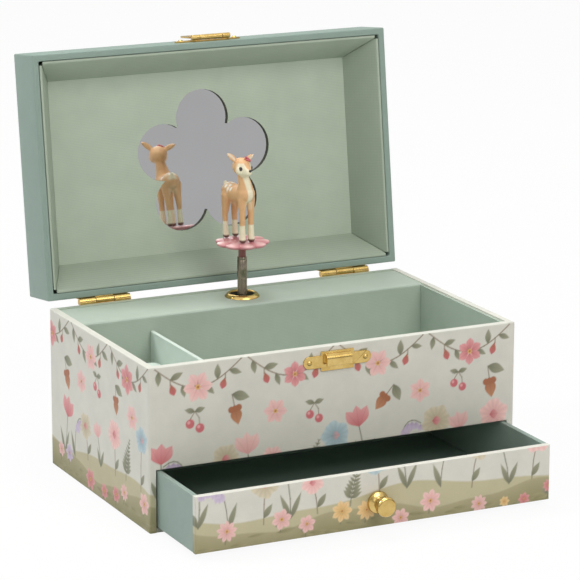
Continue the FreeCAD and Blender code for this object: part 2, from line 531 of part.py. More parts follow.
bore(hasp, "hasp_pin_radius + running_fit", "hasp_knuckle_width", (f"-{KNUCKLE_X}", HASP_Y, HASP_Z), "+x")

# Music movement on a bedplate behind the housing.  Its spring barrel lies on the line of the winding key
BARREL_Z = f"({DECK_UNDER} - barrel_drop)"
CROWN_RADIUS = "(tooth_module * crown_teeth / 2)"
PINION_RADIUS = "(tooth_module * pinion_teeth / 2)"
PITCH_Y = f"({SPINDLE_Y} + {PINION_RADIUS})"
CROWN_FACE = f"({PITCH_Y} + tooth_ded)"
PLATE_Y = f"({INNER_BACK} - bedplate)"
BARREL_BACK = f"({PLATE_Y} - barrel_gap)"
BARREL_LENGTH = f"({BARREL_BACK} - {CROWN_FACE})"


def tooth_profile(low, high, step, upright):
    """The two feet and two tips of a tapered tooth that is as wide as its share of the pitch."""
    root, tip = f"{step} * tooth_root_share", f"{step} * tooth_tip_share"
    corners = [(low, f"-{root}"), (high, f"-{tip}"), (high, tip), (low, root)]
    return [(across, rise) for rise, across in corners] if upright else corners


barrel = new_body("spring_barrel", ("0", BARREL_BACK, BARREL_Z), (1, 0, 0), "90")
rod(barrel, "barrel_radius", BARREL_LENGTH, ("0", "0", "0"))
bore(barrel, "arbor_radius + fixed_fit", BARREL_LENGTH, ("0", "0", "0"))
crown_tooth = tooth_profile(f"{BARREL_LENGTH} - tooth_sink", f"{BARREL_LENGTH} + tooth_ded + tooth_add",
                            "(pi * tooth_module)", True)
CROWN_LOW = f"({CROWN_RADIUS} - pinion_width / 2)"
tooth = pad(barrel, sketch(barrel, "YZ_Plane", crown_tooth, lift=CROWN_LOW), "pinion_width")
round_pattern(barrel, tooth, "crown_teeth")

arbor = new_body("winding_arbor", ("0", CROWN_FACE, BARREL_Z), (1, 0, 0), "-90")
KEY_BACK = f"({BACK} + key_standoff + key_hub_length)"
rod(arbor, "arbor_radius", f"{KEY_BACK} - {CROWN_FACE}", ("0", "0", "0"))

# Butterfly key outside the back wall
key = new_body("winding_key", ("0", f"{BACK} + key_standoff", BARREL_Z))
rod(key, "key_hub_radius", "key_hub_length", ("0", "0", "0"), "+y")
wings = [(f"{sign} * key_wing_reach", "key_hub_length", "-key_sheet / 2") for sign in ("-1", "1")]
for place in wings:
    rod(key, "key_wing_radius", "key_sheet", place)
for place in wings:
    bore(key, "key_eye_radius", "key_sheet", place)
bore(key, "arbor_radius + fixed_fit", "key_hub_length", ("0", "0", "0"), "+y")


def gear_teeth(body, teeth, module, add, ded, width, lift):
    """Root disc and tapered teeth of a small cut gear, one tooth on the +X side."""
    pitch = f"({module} * {teeth} / 2)"
    rod(body, f"{pitch} - {ded}", width, ("0", "0", lift))
    profile = tooth_profile(f"{pitch} - {ded} - tooth_sink", f"{pitch} + {add}", f"(pi * {module})", False)
    one = pad(body, sketch(body, "XY_Plane", profile, lift=lift), width)
    round_pattern(body, one, teeth)


# Pinned cylinder across the barrel's face, driven by the crown teeth
cylinder_stand = ("0", SPINDLE_Y, BARREL_Z)
BEARING_ONE = "(barrel_radius + cylinder_gap)"
CYLINDER_LOW = f"({BEARING_ONE} + bearing_sheet + cylinder_gap)"
CYLINDER_HIGH = f"({CYLINDER_LOW} + cylinder_length)"
WHEEL_LOW = f"({CYLINDER_HIGH} + cylinder_gap)"
BEARING_TWO = f"({WHEEL_LOW} + wheel_width + cylinder_gap)"
WORM_WHEEL_LOW = f"({BEARING_TWO} + bearing_sheet + cylinder_gap)"
BEARING_THREE = f"({WORM_WHEEL_LOW} + wheel_width + cylinder_gap + fan_shaft_radius)"
WHEEL_RADIUS = "(fine_module * wheel_teeth / 2)"
SMALL_RADIUS = "(fine_module * pinion_teeth / 2)"
GOVERNOR_Z = f"({BARREL_Z} + {WHEEL_RADIUS} + {SMALL_RADIUS})"
WORM_WHEEL_RADIUS = "(fine_module * worm_wheel_teeth / 2)"
WORM_X = f"({WORM_WHEEL_LOW} + wheel_width / 2)"
WORM_Z = f"({GOVERNOR_Z} + {WORM_WHEEL_RADIUS} + wheel_add + worm_gap + worm_radius)"

cylinder_arbor = new_body("cylinder_arbor", cylinder_stand, (0, 1, 0), "90")
gear_teeth(cylinder_arbor, "pinion_teeth", "tooth_module", "tooth_add", "tooth_ded", "pinion_width", CROWN_LOW)
rod(cylinder_arbor, "cylinder_arbor_radius", f"{BEARING_TWO} + bearing_sheet - {CROWN_LOW}",
    ("0", "0", CROWN_LOW))
cylinder_wheel = new_body("cylinder_wheel", cylinder_stand, (0, 1, 0), "90")
gear_teeth(cylinder_wheel, "wheel_teeth", "fine_module", "wheel_add", "wheel_ded", "wheel_width", WHEEL_LOW)
bore(cylinder_wheel, "cylinder_arbor_radius + fixed_fit", "wheel_width", ("0", "0", WHEEL_LOW))

TRACK_STEP = "(cylinder_length / (tracks + 1))"
PIN_STEP = 67
PIN_SPREAD = 131
drum = doc.addObject("Part::Feature", "music_cylinder")
drum.Label = "music_cylinder"
drum_solid = Part.makeCylinder(size("cylinder_radius"), size("cylinder_length"))
pin_side = size("pin_side")
pins = []
for track in range(int(SIZES["tracks"])):
    for count in range(int(SIZES["pins_per_track"])):
        corner = FreeCAD.Vector(0, -pin_side / 2, (track + 1) * size(TRACK_STEP) - pin_side / 2)
        pin = Part.makeBox(size("cylinder_radius + pin_height"), pin_side, pin_side, corner)
        pin.rotate(FreeCAD.Vector(), FreeCAD.Vector(0, 0, 1), track * PIN_STEP + count * PIN_SPREAD)
        pins.append(pin)
drum_solid = drum_solid.fuse(pins).removeSplitter()
drum_bore = Part.makeCylinder(size("cylinder_arbor_radius + fixed_fit"), size("cylinder_length"))
drum.Shape = drum_solid.cut(drum_bore)
drum.Placement = FreeCAD.Placement(FreeCAD.Vector(size(CYLINDER_LOW), size(SPINDLE_Y), size(BARREL_Z)),
                                   FreeCAD.Rotation(FreeCAD.Vector(0, 1, 0), 90))
nodes.append(drum)

# Governor: a pinion and a worm wheel on one arbor, and the fan that they whirl to keep the time
governor_wheel = new_body("governor_wheel", ("0", SPINDLE_Y, GOVERNOR_Z), (1, 1, 1), "120")
gear_teeth(governor_wheel, "pinion_teeth", "fine_module", "wheel_add", "wheel_ded", "wheel_width", WHEEL_LOW)
rod(governor_wheel, "governor_arbor_radius", f"{BEARING_THREE} + bearing_sheet - {WHEEL_LOW}",
    ("0", "0", WHEEL_LOW))
gear_teeth(governor_wheel, "worm_wheel_teeth", "fine_module", "wheel_add", "wheel_ded", "wheel_width",
           WORM_WHEEL_LOW)

FAN_BACK = f"({SPINDLE_Y} - bearing_margin - fan_shaft_radius - bearing_sheet - {WORM_WHEEL_RADIUS} / 2)"
FAN_PLACE = f"({FAN_BACK} - {PLATE_Y} - barrel_gap)"
fan = new_body("governor_fan", (WORM_X, PLATE_Y, WORM_Z))
WORM_LENGTH = f"({PLATE_Y} - {FAN_BACK} - bearing_sheet - 2 * barrel_gap)"
rod(fan, "worm_radius", WORM_LENGTH, ("0", "-barrel_gap", "0"), "-y")
rod(fan, "fan_shaft_radius", f"bedplate / 2 - {FAN_PLACE} + fan_length", ("0", "bedplate / 2", "0"), "-y")
box(fan, ("-fan_radius", "fan_radius"), (f"{FAN_PLACE} - fan_length", FAN_PLACE),
    ("-fan_sheet / 2", "fan_sheet / 2"))

# Comb of tuned steel teeth under the cylinder, on a ledge of the bedplate
COMB_TIP = f"({BARREL_Z} - cylinder_radius - pin_height - comb_gap)"
COMB_LOW = f"({TRAY_FLOOR} + bedplate_lift)"
COMB_HIGH = f"({COMB_LOW} + comb_base_share * ({COMB_TIP} - {COMB_LOW}))"
COMB_BACK = f"({SPINDLE_Y} + comb_thick / 2)"
COMB_X = (f"{CYLINDER_LOW} + comb_margin", f"{CYLINDER_HIGH} - comb_margin")
HALF_TOOTH = f"({TRACK_STEP} * (1 - comb_slot_share) / 2)"
FIRST_TRACK = f"({CYLINDER_LOW} + {TRACK_STEP})"
comb = new_body("music_comb")
box(comb, COMB_X, (f"{COMB_BACK} - comb_thick", COMB_BACK), (COMB_LOW, COMB_HIGH))
comb_tooth = box(comb, (f"{FIRST_TRACK} - {HALF_TOOTH}", f"{FIRST_TRACK} + {HALF_TOOTH}"),
                 (f"{SPINDLE_Y} - comb_tooth_sheet / 2", f"{SPINDLE_Y} + comb_tooth_sheet / 2"),
                 (f"{COMB_HIGH} - tooth_sink", COMB_TIP))
doc.recompute()
comb_row = comb.newObject("PartDesign::LinearPattern", "comb_row")
comb_row.Originals = [comb_tooth]
comb_row.Direction = (next(axis for axis in comb.Origin.OriginFeatures if axis.Role == "X_Axis"), [""])
bind(comb_row, Length=f"{TRACK_STEP} * (tracks - 1)", Occurrences="tracks")
comb.Tip = comb_row
doc.recompute()

# Bedplate with the bearings of every arbor, the comb's ledge and the spindle's bracket
PLATE_HIGH = f"({DECK_UNDER} - bedplate_top_gap)"
ARBOR_MARGIN = "(bearing_margin + cylinder_arbor_radius)"
BEARING_FRONT = f"({SPINDLE_Y} - {ARBOR_MARGIN})"
BRACKET_LOW = f"({BARREL_Z} + {CROWN_RADIUS} + pinion_width / 2 + spindle_bracket_gap)"
bedplate = new_body("bedplate")
box(bedplate, ("-bedplate_left", "bedplate_right"), (PLATE_Y, INNER_BACK), (COMB_LOW, PLATE_HIGH))
box(bedplate, (BEARING_ONE, f"{BEARING_ONE} + bearing_sheet"), (BEARING_FRONT, PLATE_Y),
    (f"{BARREL_Z} - {ARBOR_MARGIN}", f"{BARREL_Z} + {ARBOR_MARGIN}"))
box(bedplate, (BEARING_TWO, f"{BEARING_TWO} + bearing_sheet"), (BEARING_FRONT, PLATE_Y),
    (f"{BARREL_Z} - {ARBOR_MARGIN}", f"{GOVERNOR_Z} + {ARBOR_MARGIN}"))
box(bedplate, (BEARING_THREE, f"{BEARING_THREE} + bearing_sheet"), (FAN_BACK, PLATE_Y),
    (f"{GOVERNOR_Z} - {ARBOR_MARGIN}", f"{WORM_Z} + bearing_margin"))
box(bedplate, (f"{WORM_X} - bearing_margin", BEARING_THREE), (FAN_BACK, f"{FAN_BACK} + bearing_sheet"),
    (f"{WORM_Z} - worm_radius - fan_shaft_radius", f"{WORM_Z} + bearing_margin"))
box(bedplate, COMB_X, (COMB_BACK, PLATE_Y), (COMB_LOW, COMB_HIGH))
box(bedplate, ("-spindle_bracket_half", "spindle_bracket_half"),
    (f"{SPINDLE_Y} - spindle_bracket_half", PLATE_Y), (BRACKET_LOW, f"{BRACKET_LOW} + spindle_bracket"))
bore(bedplate, "cylinder_arbor_radius + running_fit", f"{BEARING_TWO} + bearing_sheet - {BEARING_ONE}",
     (BEARING_ONE, SPINDLE_Y, BARREL_Z), "+x")
bore(bedplate, "governor_arbor_radius + running_fit", f"{BEARING_THREE} + bearing_sheet - {BEARING_TWO}",
     (BEARING_TWO, SPINDLE_Y, GOVERNOR_Z), "+x")
rod(bedplate, "fan_shaft_radius + running_fit", f"bedplate / 2 + running_fit + {PLATE_Y} - {FAN_BACK} + {PAST}",
    (WORM_X, f"{PLATE_Y} + bedplate / 2 + running_fit", WORM_Z), "-y", cut=True)
bore(bedplate, "arbor_radius + running_fit", "bedplate", ("0", PLATE_Y, BARREL_Z), "+y")
bore(bedplate, "spindle_radius + running_fit", "spindle_bracket", ("0", SPINDLE_Y, BRACKET_LOW))

bore(back_wall, "key_hole_radius", "case_board", ("0", INNER_BACK, BARREL_Z), "+y")

# Spindle under the deck, with the pinion that the crown teeth turn
SHOULDER = f"({DECK_TOP} - spindle_shoulder_drop)"
SPINDLE_PINION_LOW = f"({BARREL_Z} + {CROWN_LOW})"
SPINDLE_LOW = f"({SPINDLE_PINION_LOW} - spindle_foot)"
spindle = new_body("spindle", ("0", SPINDLE_Y, "0"))
rod(spindle, "spindle_radius", f"{SHOULDER} - {SPINDLE_LOW}", ("0", "0", SPINDLE_LOW))
rod(spindle, "spindle_collar_radius", "spindle_collar",
    ("0", "0", f"{BRACKET_LOW} + spindle_bracket + running_fit"))
rod(spindle, "spindle_peg_radius", "spindle_peg", ("0", "0", SHOULDER))
spindle_pinion = new_body("spindle_pinion", ("0", SPINDLE_Y, "0"))
gear_teeth(spindle_pinion, "pinion_teeth", "tooth_module", "tooth_add", "tooth_ded", "pinion_width",
           SPINDLE_PINION_LOW)
bore(spindle_pinion, "spindle_radius + fixed_fit", "pinion_width", ("0", "0", SPINDLE_PINION_LOW))

# Brass grommet round the opening of the deck
grommet = new_body("deck_grommet", ("0", SPINDLE_Y, DECK_TOP))
turn(grommet, [("grommet_bore", "-deck_board"), ("grommet_bore + grommet_sleeve", "-deck_board"),
               ("grommet_bore + grommet_sleeve", "0"), ("grommet_radius", "0"),
               ("grommet_crest", "grommet_lip"), ("grommet_bore", "grommet_throat")])

# Spring that lets the figure bow under the lid, the rolled stem and the flower that the fawn stands on
FOLD_Z = f"({DECK_TOP} + fold_rise)"
STEM_LOW = f"({FOLD_Z} - stem_skirt)"
STEM_TOP = f"({DECK_TOP} + stem_height)"
STEM_LENGTH = f"({STEM_TOP} - {STEM_LOW})"
STEM_BORE = "(stem_radius - stem_wall)"
STAND_LOW = f"({DECK_TOP} + stand_rise)"
STAND_TOP = f"({STAND_LOW} + stand_thick)"
TILT_RADIUS = f"({STEM_BORE} - running_fit)"
TILT_LENGTH = f"({DECK_TOP} + tilt_spring_height - {SHOULDER})"
tilt_spring = new_body("tilt_spring", ("0", SPINDLE_Y, "0"))
rod(tilt_spring, TILT_RADIUS, TILT_LENGTH, ("0", "0", SHOULDER))
bore(tilt_spring, f"{TILT_RADIUS} - tilt_spring_wall", TILT_LENGTH, ("0", "0", SHOULDER))

stem = new_body("figure_stem", ("0", SPINDLE_Y, "0"))
rod(stem, "stem_radius", STEM_LENGTH, ("0", "0", STEM_LOW))
bore(stem, STEM_BORE, STEM_LENGTH, ("0", "0", STEM_LOW))
box(stem, (f"-stem_radius - {PAST}", "0"), ("-stem_seam / 2", "stem_seam / 2"),
    (f"{STEM_LOW} - {PAST}", f"{STEM_TOP} + {PAST}"), cut=True)

HALF_STAND = "(180 / stand_petals)"
STAND_TIP = "(stand_petal_reach + stand_petal_radius)"
STAND_DEPTH = f"(stand_petal_radius^2 - (stand_petal_reach * sin({HALF_STAND}))^2)"
STAND_NOTCH = f"(stand_petal_reach * cos({HALF_STAND}) + sqrt({STAND_DEPTH}))"
stand_outline = []
for petal in range(int(SIZES["stand_petals"])):
    aim = f"({2 * petal} * {HALF_STAND})"
    gap = f"({2 * petal + 1} * {HALF_STAND})"
    stand_outline.append((f"{STAND_TIP} * cos({aim})", f"{STAND_TIP} * sin({aim})", "stand_petal_radius"))
    stand_outline.append((f"{STAND_NOTCH} * cos({gap})", f"{STAND_NOTCH} * sin({gap})", "stand_petal_radius"))
stand = new_body("flower_stand", ("0", SPINDLE_Y, STAND_LOW))
pad(stand, sketch(stand, "XY_Plane", stand_outline), "stand_thick")
rod(stand, f"{STEM_BORE} - fixed_fit", "stand_stub_depth + stand_thick / 2", ("0", "0", "stand_thick / 2"),
    "-z")


FAWN_SIDES = 10


def limb(sections):
    """A tapering limb with flat sides between elliptical sections, each square to a direction.

    A section's middle, half width and half height are shares of the fawn's height."""
    height = size("fawn_height")
    turns = [2 * math.pi * step / FAWN_SIDES for step in range(FAWN_SIDES)]
    rings = []
    for centre, across, tall, normal in sections:
        way = FreeCAD.Vector(*normal).normalize()
        right = (FreeCAD.Vector(1, 0, 0) - way * way.x).normalize()
        up = way.cross(right)
        middle = FreeCAD.Vector(*centre) * height
        rings.append([middle + right * (across * height * math.cos(a)) + up * (tall * height * math.sin(a))
                      for a in turns])
    corners = []
    for low, high in zip(rings, rings[1:]):
        for step in range(FAWN_SIDES):
            after = (step + 1) % FAWN_SIDES
            corners.append((low[step], low[after], high[after]))
            corners.append((low[step], high[after], high[step]))
    corners += [rings[0], rings[-1]]
    faces = [Part.Face(Part.makePolygon(list(outline) + [outline[0]])) for outline in corners]
    return Part.Solid(Part.Shell(faces))


# Fawn of cast resin, facing the front: trunk, neck, head, ears, tail and four legs grow into one another
UP = (0, 0, 1)
ALONG = (0, -1, 0)
NOSE = (0, -0.93, -0.36)
TAIL = (0, 0.8, 0.6)
trunk = limb([((0, 0.2217, 0.5435), 0.0348, 0.0435, ALONG), ((0, 0.187, 0.5435), 0.0848, 0.0957, ALONG),
              ((0, 0.1087, 0.5348), 0.1065, 0.1196, ALONG), ((0, 0.0, 0.5217), 0.0978, 0.1065, ALONG),
              ((0, -0.0978, 0.5348), 0.1022, 0.1217, ALONG), ((0, -0.1739, 0.5565), 0.0848, 0.1087, ALONG),
              ((0, -0.213, 0.5652), 0.0391, 0.0609, ALONG)])
neck = limb([((0, -0.1, 0.5652), 0.0848, 0.0957, UP), ((0, -0.137, 0.6739), 0.063, 0.0717, UP),
             ((0, -0.1565, 0.8), 0.0565, 0.0609, UP)])
head = limb([((0, -0.0739, 0.8891), 0.0435, 0.0457, NOSE), ((0, -0.1087, 0.8761), 0.0935, 0.0913, NOSE),
             ((0, -0.1739, 0.8522), 0.1065, 0.0978, NOSE), ((0, -0.2348, 0.8239), 0.0783, 0.0696, NOSE),
             ((0, -0.2826, 0.8022), 0.0543, 0.0478, NOSE), ((0, -0.313, 0.7891), 0.0326, 0.0304, NOSE)])
tail = limb([((0, 0.1957, 0.587), 0.0261, 0.0239, TAIL), ((0, 0.2391, 0.6174), 0.0304, 0.0261, TAIL),
             ((0, 0.2696, 0.6435), 0.0109, 0.0087, TAIL)])
limbs = [neck, head, tail]
for sign in (-1, 1):
    ear = (sign * 0.76, 0.1, 0.64)
    limbs.append(limb([((sign * 0.0652, -0.1217, 0.9174), 0.0174, 0.0196, ear),
                       ((sign * 0.1087, -0.1174, 0.9565), 0.0391, 0.0217, ear),
                       ((sign * 0.1565, -0.1109, 0.9935), 0.0109, 0.0087, ear)]))
    fore_x = sign * 0.0565
    limbs.append(limb([((fore_x, -0.1304, 0.4891), 0.0478, 0.0565, UP),
                       ((fore_x, -0.1348, 0.3261), 0.0348, 0.037, UP),
                       ((fore_x, -0.1348, 0.1739), 0.0293, 0.0304, UP),
                       ((fore_x, -0.137, 0.0652), 0.037, 0.0391, UP),
                       ((fore_x, -0.1391, 0.0), 0.0457, 0.05, UP)]))
    hind_x = sign * 0.063
    limbs.append(limb([((fore_x, 0.1304, 0.5), 0.0522, 0.0739, UP),
                       ((hind_x, 0.1609, 0.3478), 0.0391, 0.0478, UP),
                       ((hind_x, 0.1717, 0.2065), 0.0283, 0.0326, UP),
                       ((hind_x, 0.1609, 0.0652), 0.037, 0.0391, UP),
                       ((hind_x, 0.1522, 0.0), 0.0435, 0.0478, UP)]))
fawn_solid = trunk.fuse(limbs)
fawn = doc.addObject("Part::Feature", "fawn")
fawn.Label = "fawn"
fawn.Shape = fawn_solid
fawn.Placement = FreeCAD.Placement(FreeCAD.Vector(0, size(SPINDLE_Y), size(STAND_TOP)), FreeCAD.Rotation())
nodes.append(fawn)

doc.recompute()
failed = [thing.Label for thing in doc.Objects if "Invalid" in thing.State or "Error" in thing.State]
if failed:
    raise RuntimeError("not built: " + ", ".join(failed))
for node in nodes:
    if node.Shape.isNull() or not node.Shape.isValid():
        raise RuntimeError(f"{node.Label} is not a valid shape")

os.makedirs("parts", exist_ok=True)
for node in nodes:
    node.Shape.exportStep(f"parts/{node.Label}.step")
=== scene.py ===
import math
import random

import bmesh
import bpy
import numpy as np
from mathutils import Euler, Matrix, Vector
from mathutils.bvhtree import BVHTree


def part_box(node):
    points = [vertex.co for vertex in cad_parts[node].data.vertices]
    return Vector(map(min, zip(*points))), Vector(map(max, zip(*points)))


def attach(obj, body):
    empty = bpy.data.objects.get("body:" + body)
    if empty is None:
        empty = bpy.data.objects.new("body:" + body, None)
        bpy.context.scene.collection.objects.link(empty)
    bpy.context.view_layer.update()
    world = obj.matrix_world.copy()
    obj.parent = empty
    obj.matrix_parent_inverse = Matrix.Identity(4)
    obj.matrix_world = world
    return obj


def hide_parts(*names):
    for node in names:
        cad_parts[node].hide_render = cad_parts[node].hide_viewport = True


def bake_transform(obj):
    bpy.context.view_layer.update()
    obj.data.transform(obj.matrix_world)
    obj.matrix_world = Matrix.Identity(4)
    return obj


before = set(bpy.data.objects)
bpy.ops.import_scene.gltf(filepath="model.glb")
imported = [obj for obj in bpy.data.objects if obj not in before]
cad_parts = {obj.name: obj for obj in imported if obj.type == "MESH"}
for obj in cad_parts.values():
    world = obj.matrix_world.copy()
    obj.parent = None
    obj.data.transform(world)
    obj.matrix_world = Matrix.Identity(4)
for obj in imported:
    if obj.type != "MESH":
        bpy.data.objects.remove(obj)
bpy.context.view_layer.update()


# The four case walls are grey board, wrapped in one sheet of printed paper that runs round the corners.
# The paper shows a meadow below, tossed garden sprigs and a leafy festoon above. It folds over the top
# edges, where it is plain.
MM = 0.001
CASE_X = 95.0
CASE_Y = 59.5
QUARTER_ROUND = CASE_X + CASE_Y
PAPER_FIRST = -CASE_X - 2 * CASE_Y - 2
PAPER_LAST = 3 * CASE_X + 2 * CASE_Y + 2
PRINT_CELL = 0.42
PRINT_EDGE = 0.4
PRINT_SEED = 23
FOLD_SHOWS = 0.2
EDGE_SHOWS = 0.9
ROLL_STEPS = 4
RETURN_STEPS = 8


def ink(red, green, blue):
    """A printed colour given from 0 to 255, as the linear values that the shaders use."""
    parts = np.array((red, green, blue)) / 255
    return np.where(parts <= 0.04045, parts / 12.92, ((parts + 0.055) / 1.055) ** 2.4)


PAPER = ink(213, 211, 201)
PAPER_FOLD = ink(222, 221, 211)
BACK_FOLD = ink(176, 188, 172)
GROUND = ink(170, 162, 128)
GROUND_DEEP = ink(142, 138, 98)
FAR_HILL = ink(190, 183, 150)
LEAF = ink(160, 160, 136)
LEAF_DARK = ink(120, 121, 99)
TWIG = ink(138, 124, 103)
PINK = ink(226, 166, 165)
ROSE = ink(203, 110, 115)
SLATE = ink(140, 165, 176)
OCHRE = ink(222, 176, 106)
CHESTNUT = ink(166, 106, 74)
RUST = ink(196, 142, 106)
ROSE_WASH = (ROSE, PINK)
PINK_WASH = (PINK, ink(238, 202, 195))
SLATE_WASH = (SLATE, ink(186, 204, 209))
SAND_WASH = (ink(186, 171, 142), ink(212, 202, 178))
LILAC_WASH = (ink(182, 162, 194), ink(212, 199, 217))
OCHRE_WASH = (OCHRE, ink(236, 207, 158))


def lay_ink(paper, near, outside, colour):
    """Prints a shape on the paper, with a soft edge where its outline passes."""
    sheet = paper[0]
    cover = np.clip(0.5 - outside / PRINT_EDGE, 0, 1)[:, None]
    sheet[near] += (colour - sheet[near]) * cover


def in_reach(paper, at, reach):
    """The points of the paper that lie near a spot, and how far right of it and above it they are."""
    sheet, s, z = paper
    near = np.flatnonzero((np.abs(s - at[0]) < reach) & (np.abs(z - at[1]) < reach))
    return near, s[near] - at[0], z[near] - at[1]


def print_petal(paper, at, angle, length, half_width, inks, belly):
    """A petal from its root, with a faint vein. A larger belly is widest nearer the tip."""
    near, right, up = in_reach(paper, at, length + half_width + 1)
    along = (right * math.cos(angle) + up * math.sin(angle)) / length
    across = up * math.cos(angle) - right * math.sin(angle)
    share = np.clip(along, 0, 1)
    width = half_width * np.sin(math.pi * share ** belly)
    outside = np.maximum(np.abs(across) - width, np.maximum(-along, along - 1) * length)
    vein = 1 - 0.1 * np.exp(-((across / 0.3) ** 2))
    root, tip = inks
    lay_ink(paper, near, outside, (root + (tip - root) * share[:, None]) * vein[:, None])


def print_leaf(paper, at, angle, length, half_width, belly=0.85):
    print_petal(paper, at, angle, length, half_width, (LEAF_DARK, LEAF), belly)


def print_dot(paper, at, radius, colour):
    near, right, up = in_reach(paper, at, radius + 1)
    lay_ink(paper, near, np.hypot(right, up) - radius, colour)


def print_stem(paper, points, width, colour):
    for (s0, z0), (s1, z1) in zip(points, points[1:]):
        run_s = s1 - s0
        run_z = z1 - z0
        length = math.hypot(run_s, run_z)
        near, right, up = in_reach(paper, ((s0 + s1) / 2, (z0 + z1) / 2), length + 1)
        share = np.clip((right * run_s + up * run_z) / max(length ** 2, 1e-9), -0.5, 0.5)
        lay_ink(paper, near, np.hypot(right - share * run_s, up - share * run_z) - width / 2, colour)


def print_blossom(paper, at, size, turn, inks, petals):
    """An open blossom with a dotted eye. Its widths are shares of its size."""
    for k in range(petals):
        print_petal(paper, at, turn + 2 * math.pi * k / petals, size, 1.9 * size / petals, inks, 1.5)
    print_dot(paper, at, size * 0.17, OCHRE)
    print_dot(paper, at, size * 0.08, CHESTNUT)


def print_round_bloom(paper, at, radius, turn, inks, eye):
    """A broad round bloom in one loose wash, lobed at its edge, with a coloured eye."""
    near, right, up = in_reach(paper, at, radius * 1.2 + 1)
    bearing = np.arctan2(up, right)
    edge = radius * (1 + 0.07 * np.cos(5 * bearing + turn) + 0.04 * np.cos(8 * bearing - 2 * turn))
    share = np.hypot(right, up) / edge
    fill = np.clip(share, 0, 1)[:, None]
    rays = 1 - 0.06 * np.cos(14 * bearing + 3 * turn)[:, None] * fill
    lay_ink(paper, near, (share - 1) * radius, (inks[0] + (inks[1] - inks[0]) * fill) * rays)
    eye_root = (at[0] - radius * 0.3, at[1])
    print_petal(paper, eye_root, 0.0, radius * 0.62, radius * 0.3, (eye, PINK), 1.0)


def print_tulip(paper, at, size, lean, inks):
    """A tulip on its stalk, with two long leaves at the foot."""
    head = (at[0] + size * math.sin(lean), at[1] + size * math.cos(lean))
    middle = ((at[0] + head[0]) / 2 + 0.5, (at[1] + head[1]) / 2)
    print_stem(paper, [at, middle, head], 0.5, LEAF_DARK)
    for side in (-1, 1):
        print_leaf(paper, at, math.pi / 2 + side * 0.42, size * 0.7, 1.3, 0.8)
    for spread in (-0.55, 0.55, 0):
        print_petal(paper, head, math.pi / 2 - lean + spread, size * 0.58, size * 0.15, inks, 1.2)


def print_bells(paper, at, size, side, inks):
    """An arching stalk with bells that hang from it, smaller towards its tip."""
    stalk = []
    for share in (k / 9 for k in range(10)):
        height = size * math.sin(0.64 * math.pi * share)
        stalk.append((at[0] + side * size * 0.6 * share ** 2, at[1] + height))
    print_stem(paper, stalk, 0.45, LEAF_DARK)
    print_leaf(paper, at, math.pi / 2 + side * 0.35, size * 0.62, 1.4, 0.8)
    for k in range(5, 10):
        length = size * (0.27 - 0.025 * (k - 5))
        hung_at = (stalk[k][0], stalk[k][1] - 0.6)
        for spread in (-0.36, 0.36, 0):
            print_petal(paper, hung_at, spread - math.pi / 2, length, length * 0.25, inks, 1.25)


def print_berries(paper, at, size):
    """A pair of round berries on thin stalks, under two leaves."""
    for side in (-1, 1):
        berry = (at[0] + side * size * 0.28, at[1] - size * (0.78 + 0.14 * side))
        bend = (at[0] + side * size * 0.24, at[1] - size * 0.35)
        print_stem(paper, [at, bend, berry], 0.42, TWIG)
        print_dot(paper, berry, size * 0.25, ROSE)
        print_dot(paper, (berry[0] - size * 0.07, berry[1] + size * 0.08), size * 0.09, PINK)
        print_leaf(paper, at, math.pi * (0.5 - side * 0.42), size * 0.6, size * 0.15)


def print_acorn(paper, at, size, turn):
    """An acorn with its rough cap, on a stalk with one leaf."""
    back = (at[0] - size * 0.9 * math.cos(turn), at[1] - size * 0.9 * math.sin(turn))
    print_stem(paper, [back, at], 0.5, TWIG)
    print_leaf(paper, back, turn + 1.1, size * 1.15, size * 0.3, 0.9)
    print_petal(paper, at, turn, size, size * 0.36, (CHESTNUT, RUST), 0.7)
    for across in (-0.24, 0.0, 0.24):
        cap = (at[0] - across * size * math.sin(turn), at[1] + across * size * math.cos(turn))
        print_dot(paper, cap, size * 0.2, CHESTNUT)


def print_fern(paper, at, size, lean):
    """A bowed frond, its leaflets in pairs that get shorter towards the tip."""
    stalk = [(at[0] + lean * size * 0.6 * (k / 10) ** 1.6, at[1] + size * k / 10) for k in range(11)]
    print_stem(paper, stalk, 0.45, LEAF_DARK)
    for k in range(2, 11):
        length = size * 0.34 * (1.08 - k / 11)
        for side in (-1, 1):
            print_leaf(paper, stalk[k], math.pi / 2 - lean * 0.5 + side * 0.95, length, length * 0.2, 0.8)


def near_hill(s):
    return 10.5 + 2.8 * np.sin(s / 15.4 + 2.2) + 0.8 * np.sin(s / 5.9)


def far_hill(s):
    return 17.5 + 3.2 * np.sin(s / 22.8 + 0.8) + 1.0 * np.sin(s / 9.7)


def steps_along(hands, least, most):
    """Places along the paper at uneven steps, from its first end past its last."""
    at = PAPER_FIRST
    while at < PAPER_LAST:
        at += hands.uniform(least, most)
        yield at


MEADOW = (("round bloom", SLATE_WASH, SLATE), ("tulip", ROSE_WASH, None), ("bells", LILAC_WASH, None),
          ("round bloom", SAND_WASH, ROSE), ("tulip", PINK_WASH, None), ("round bloom", PINK_WASH, ROSE),
          ("fern", None, None))


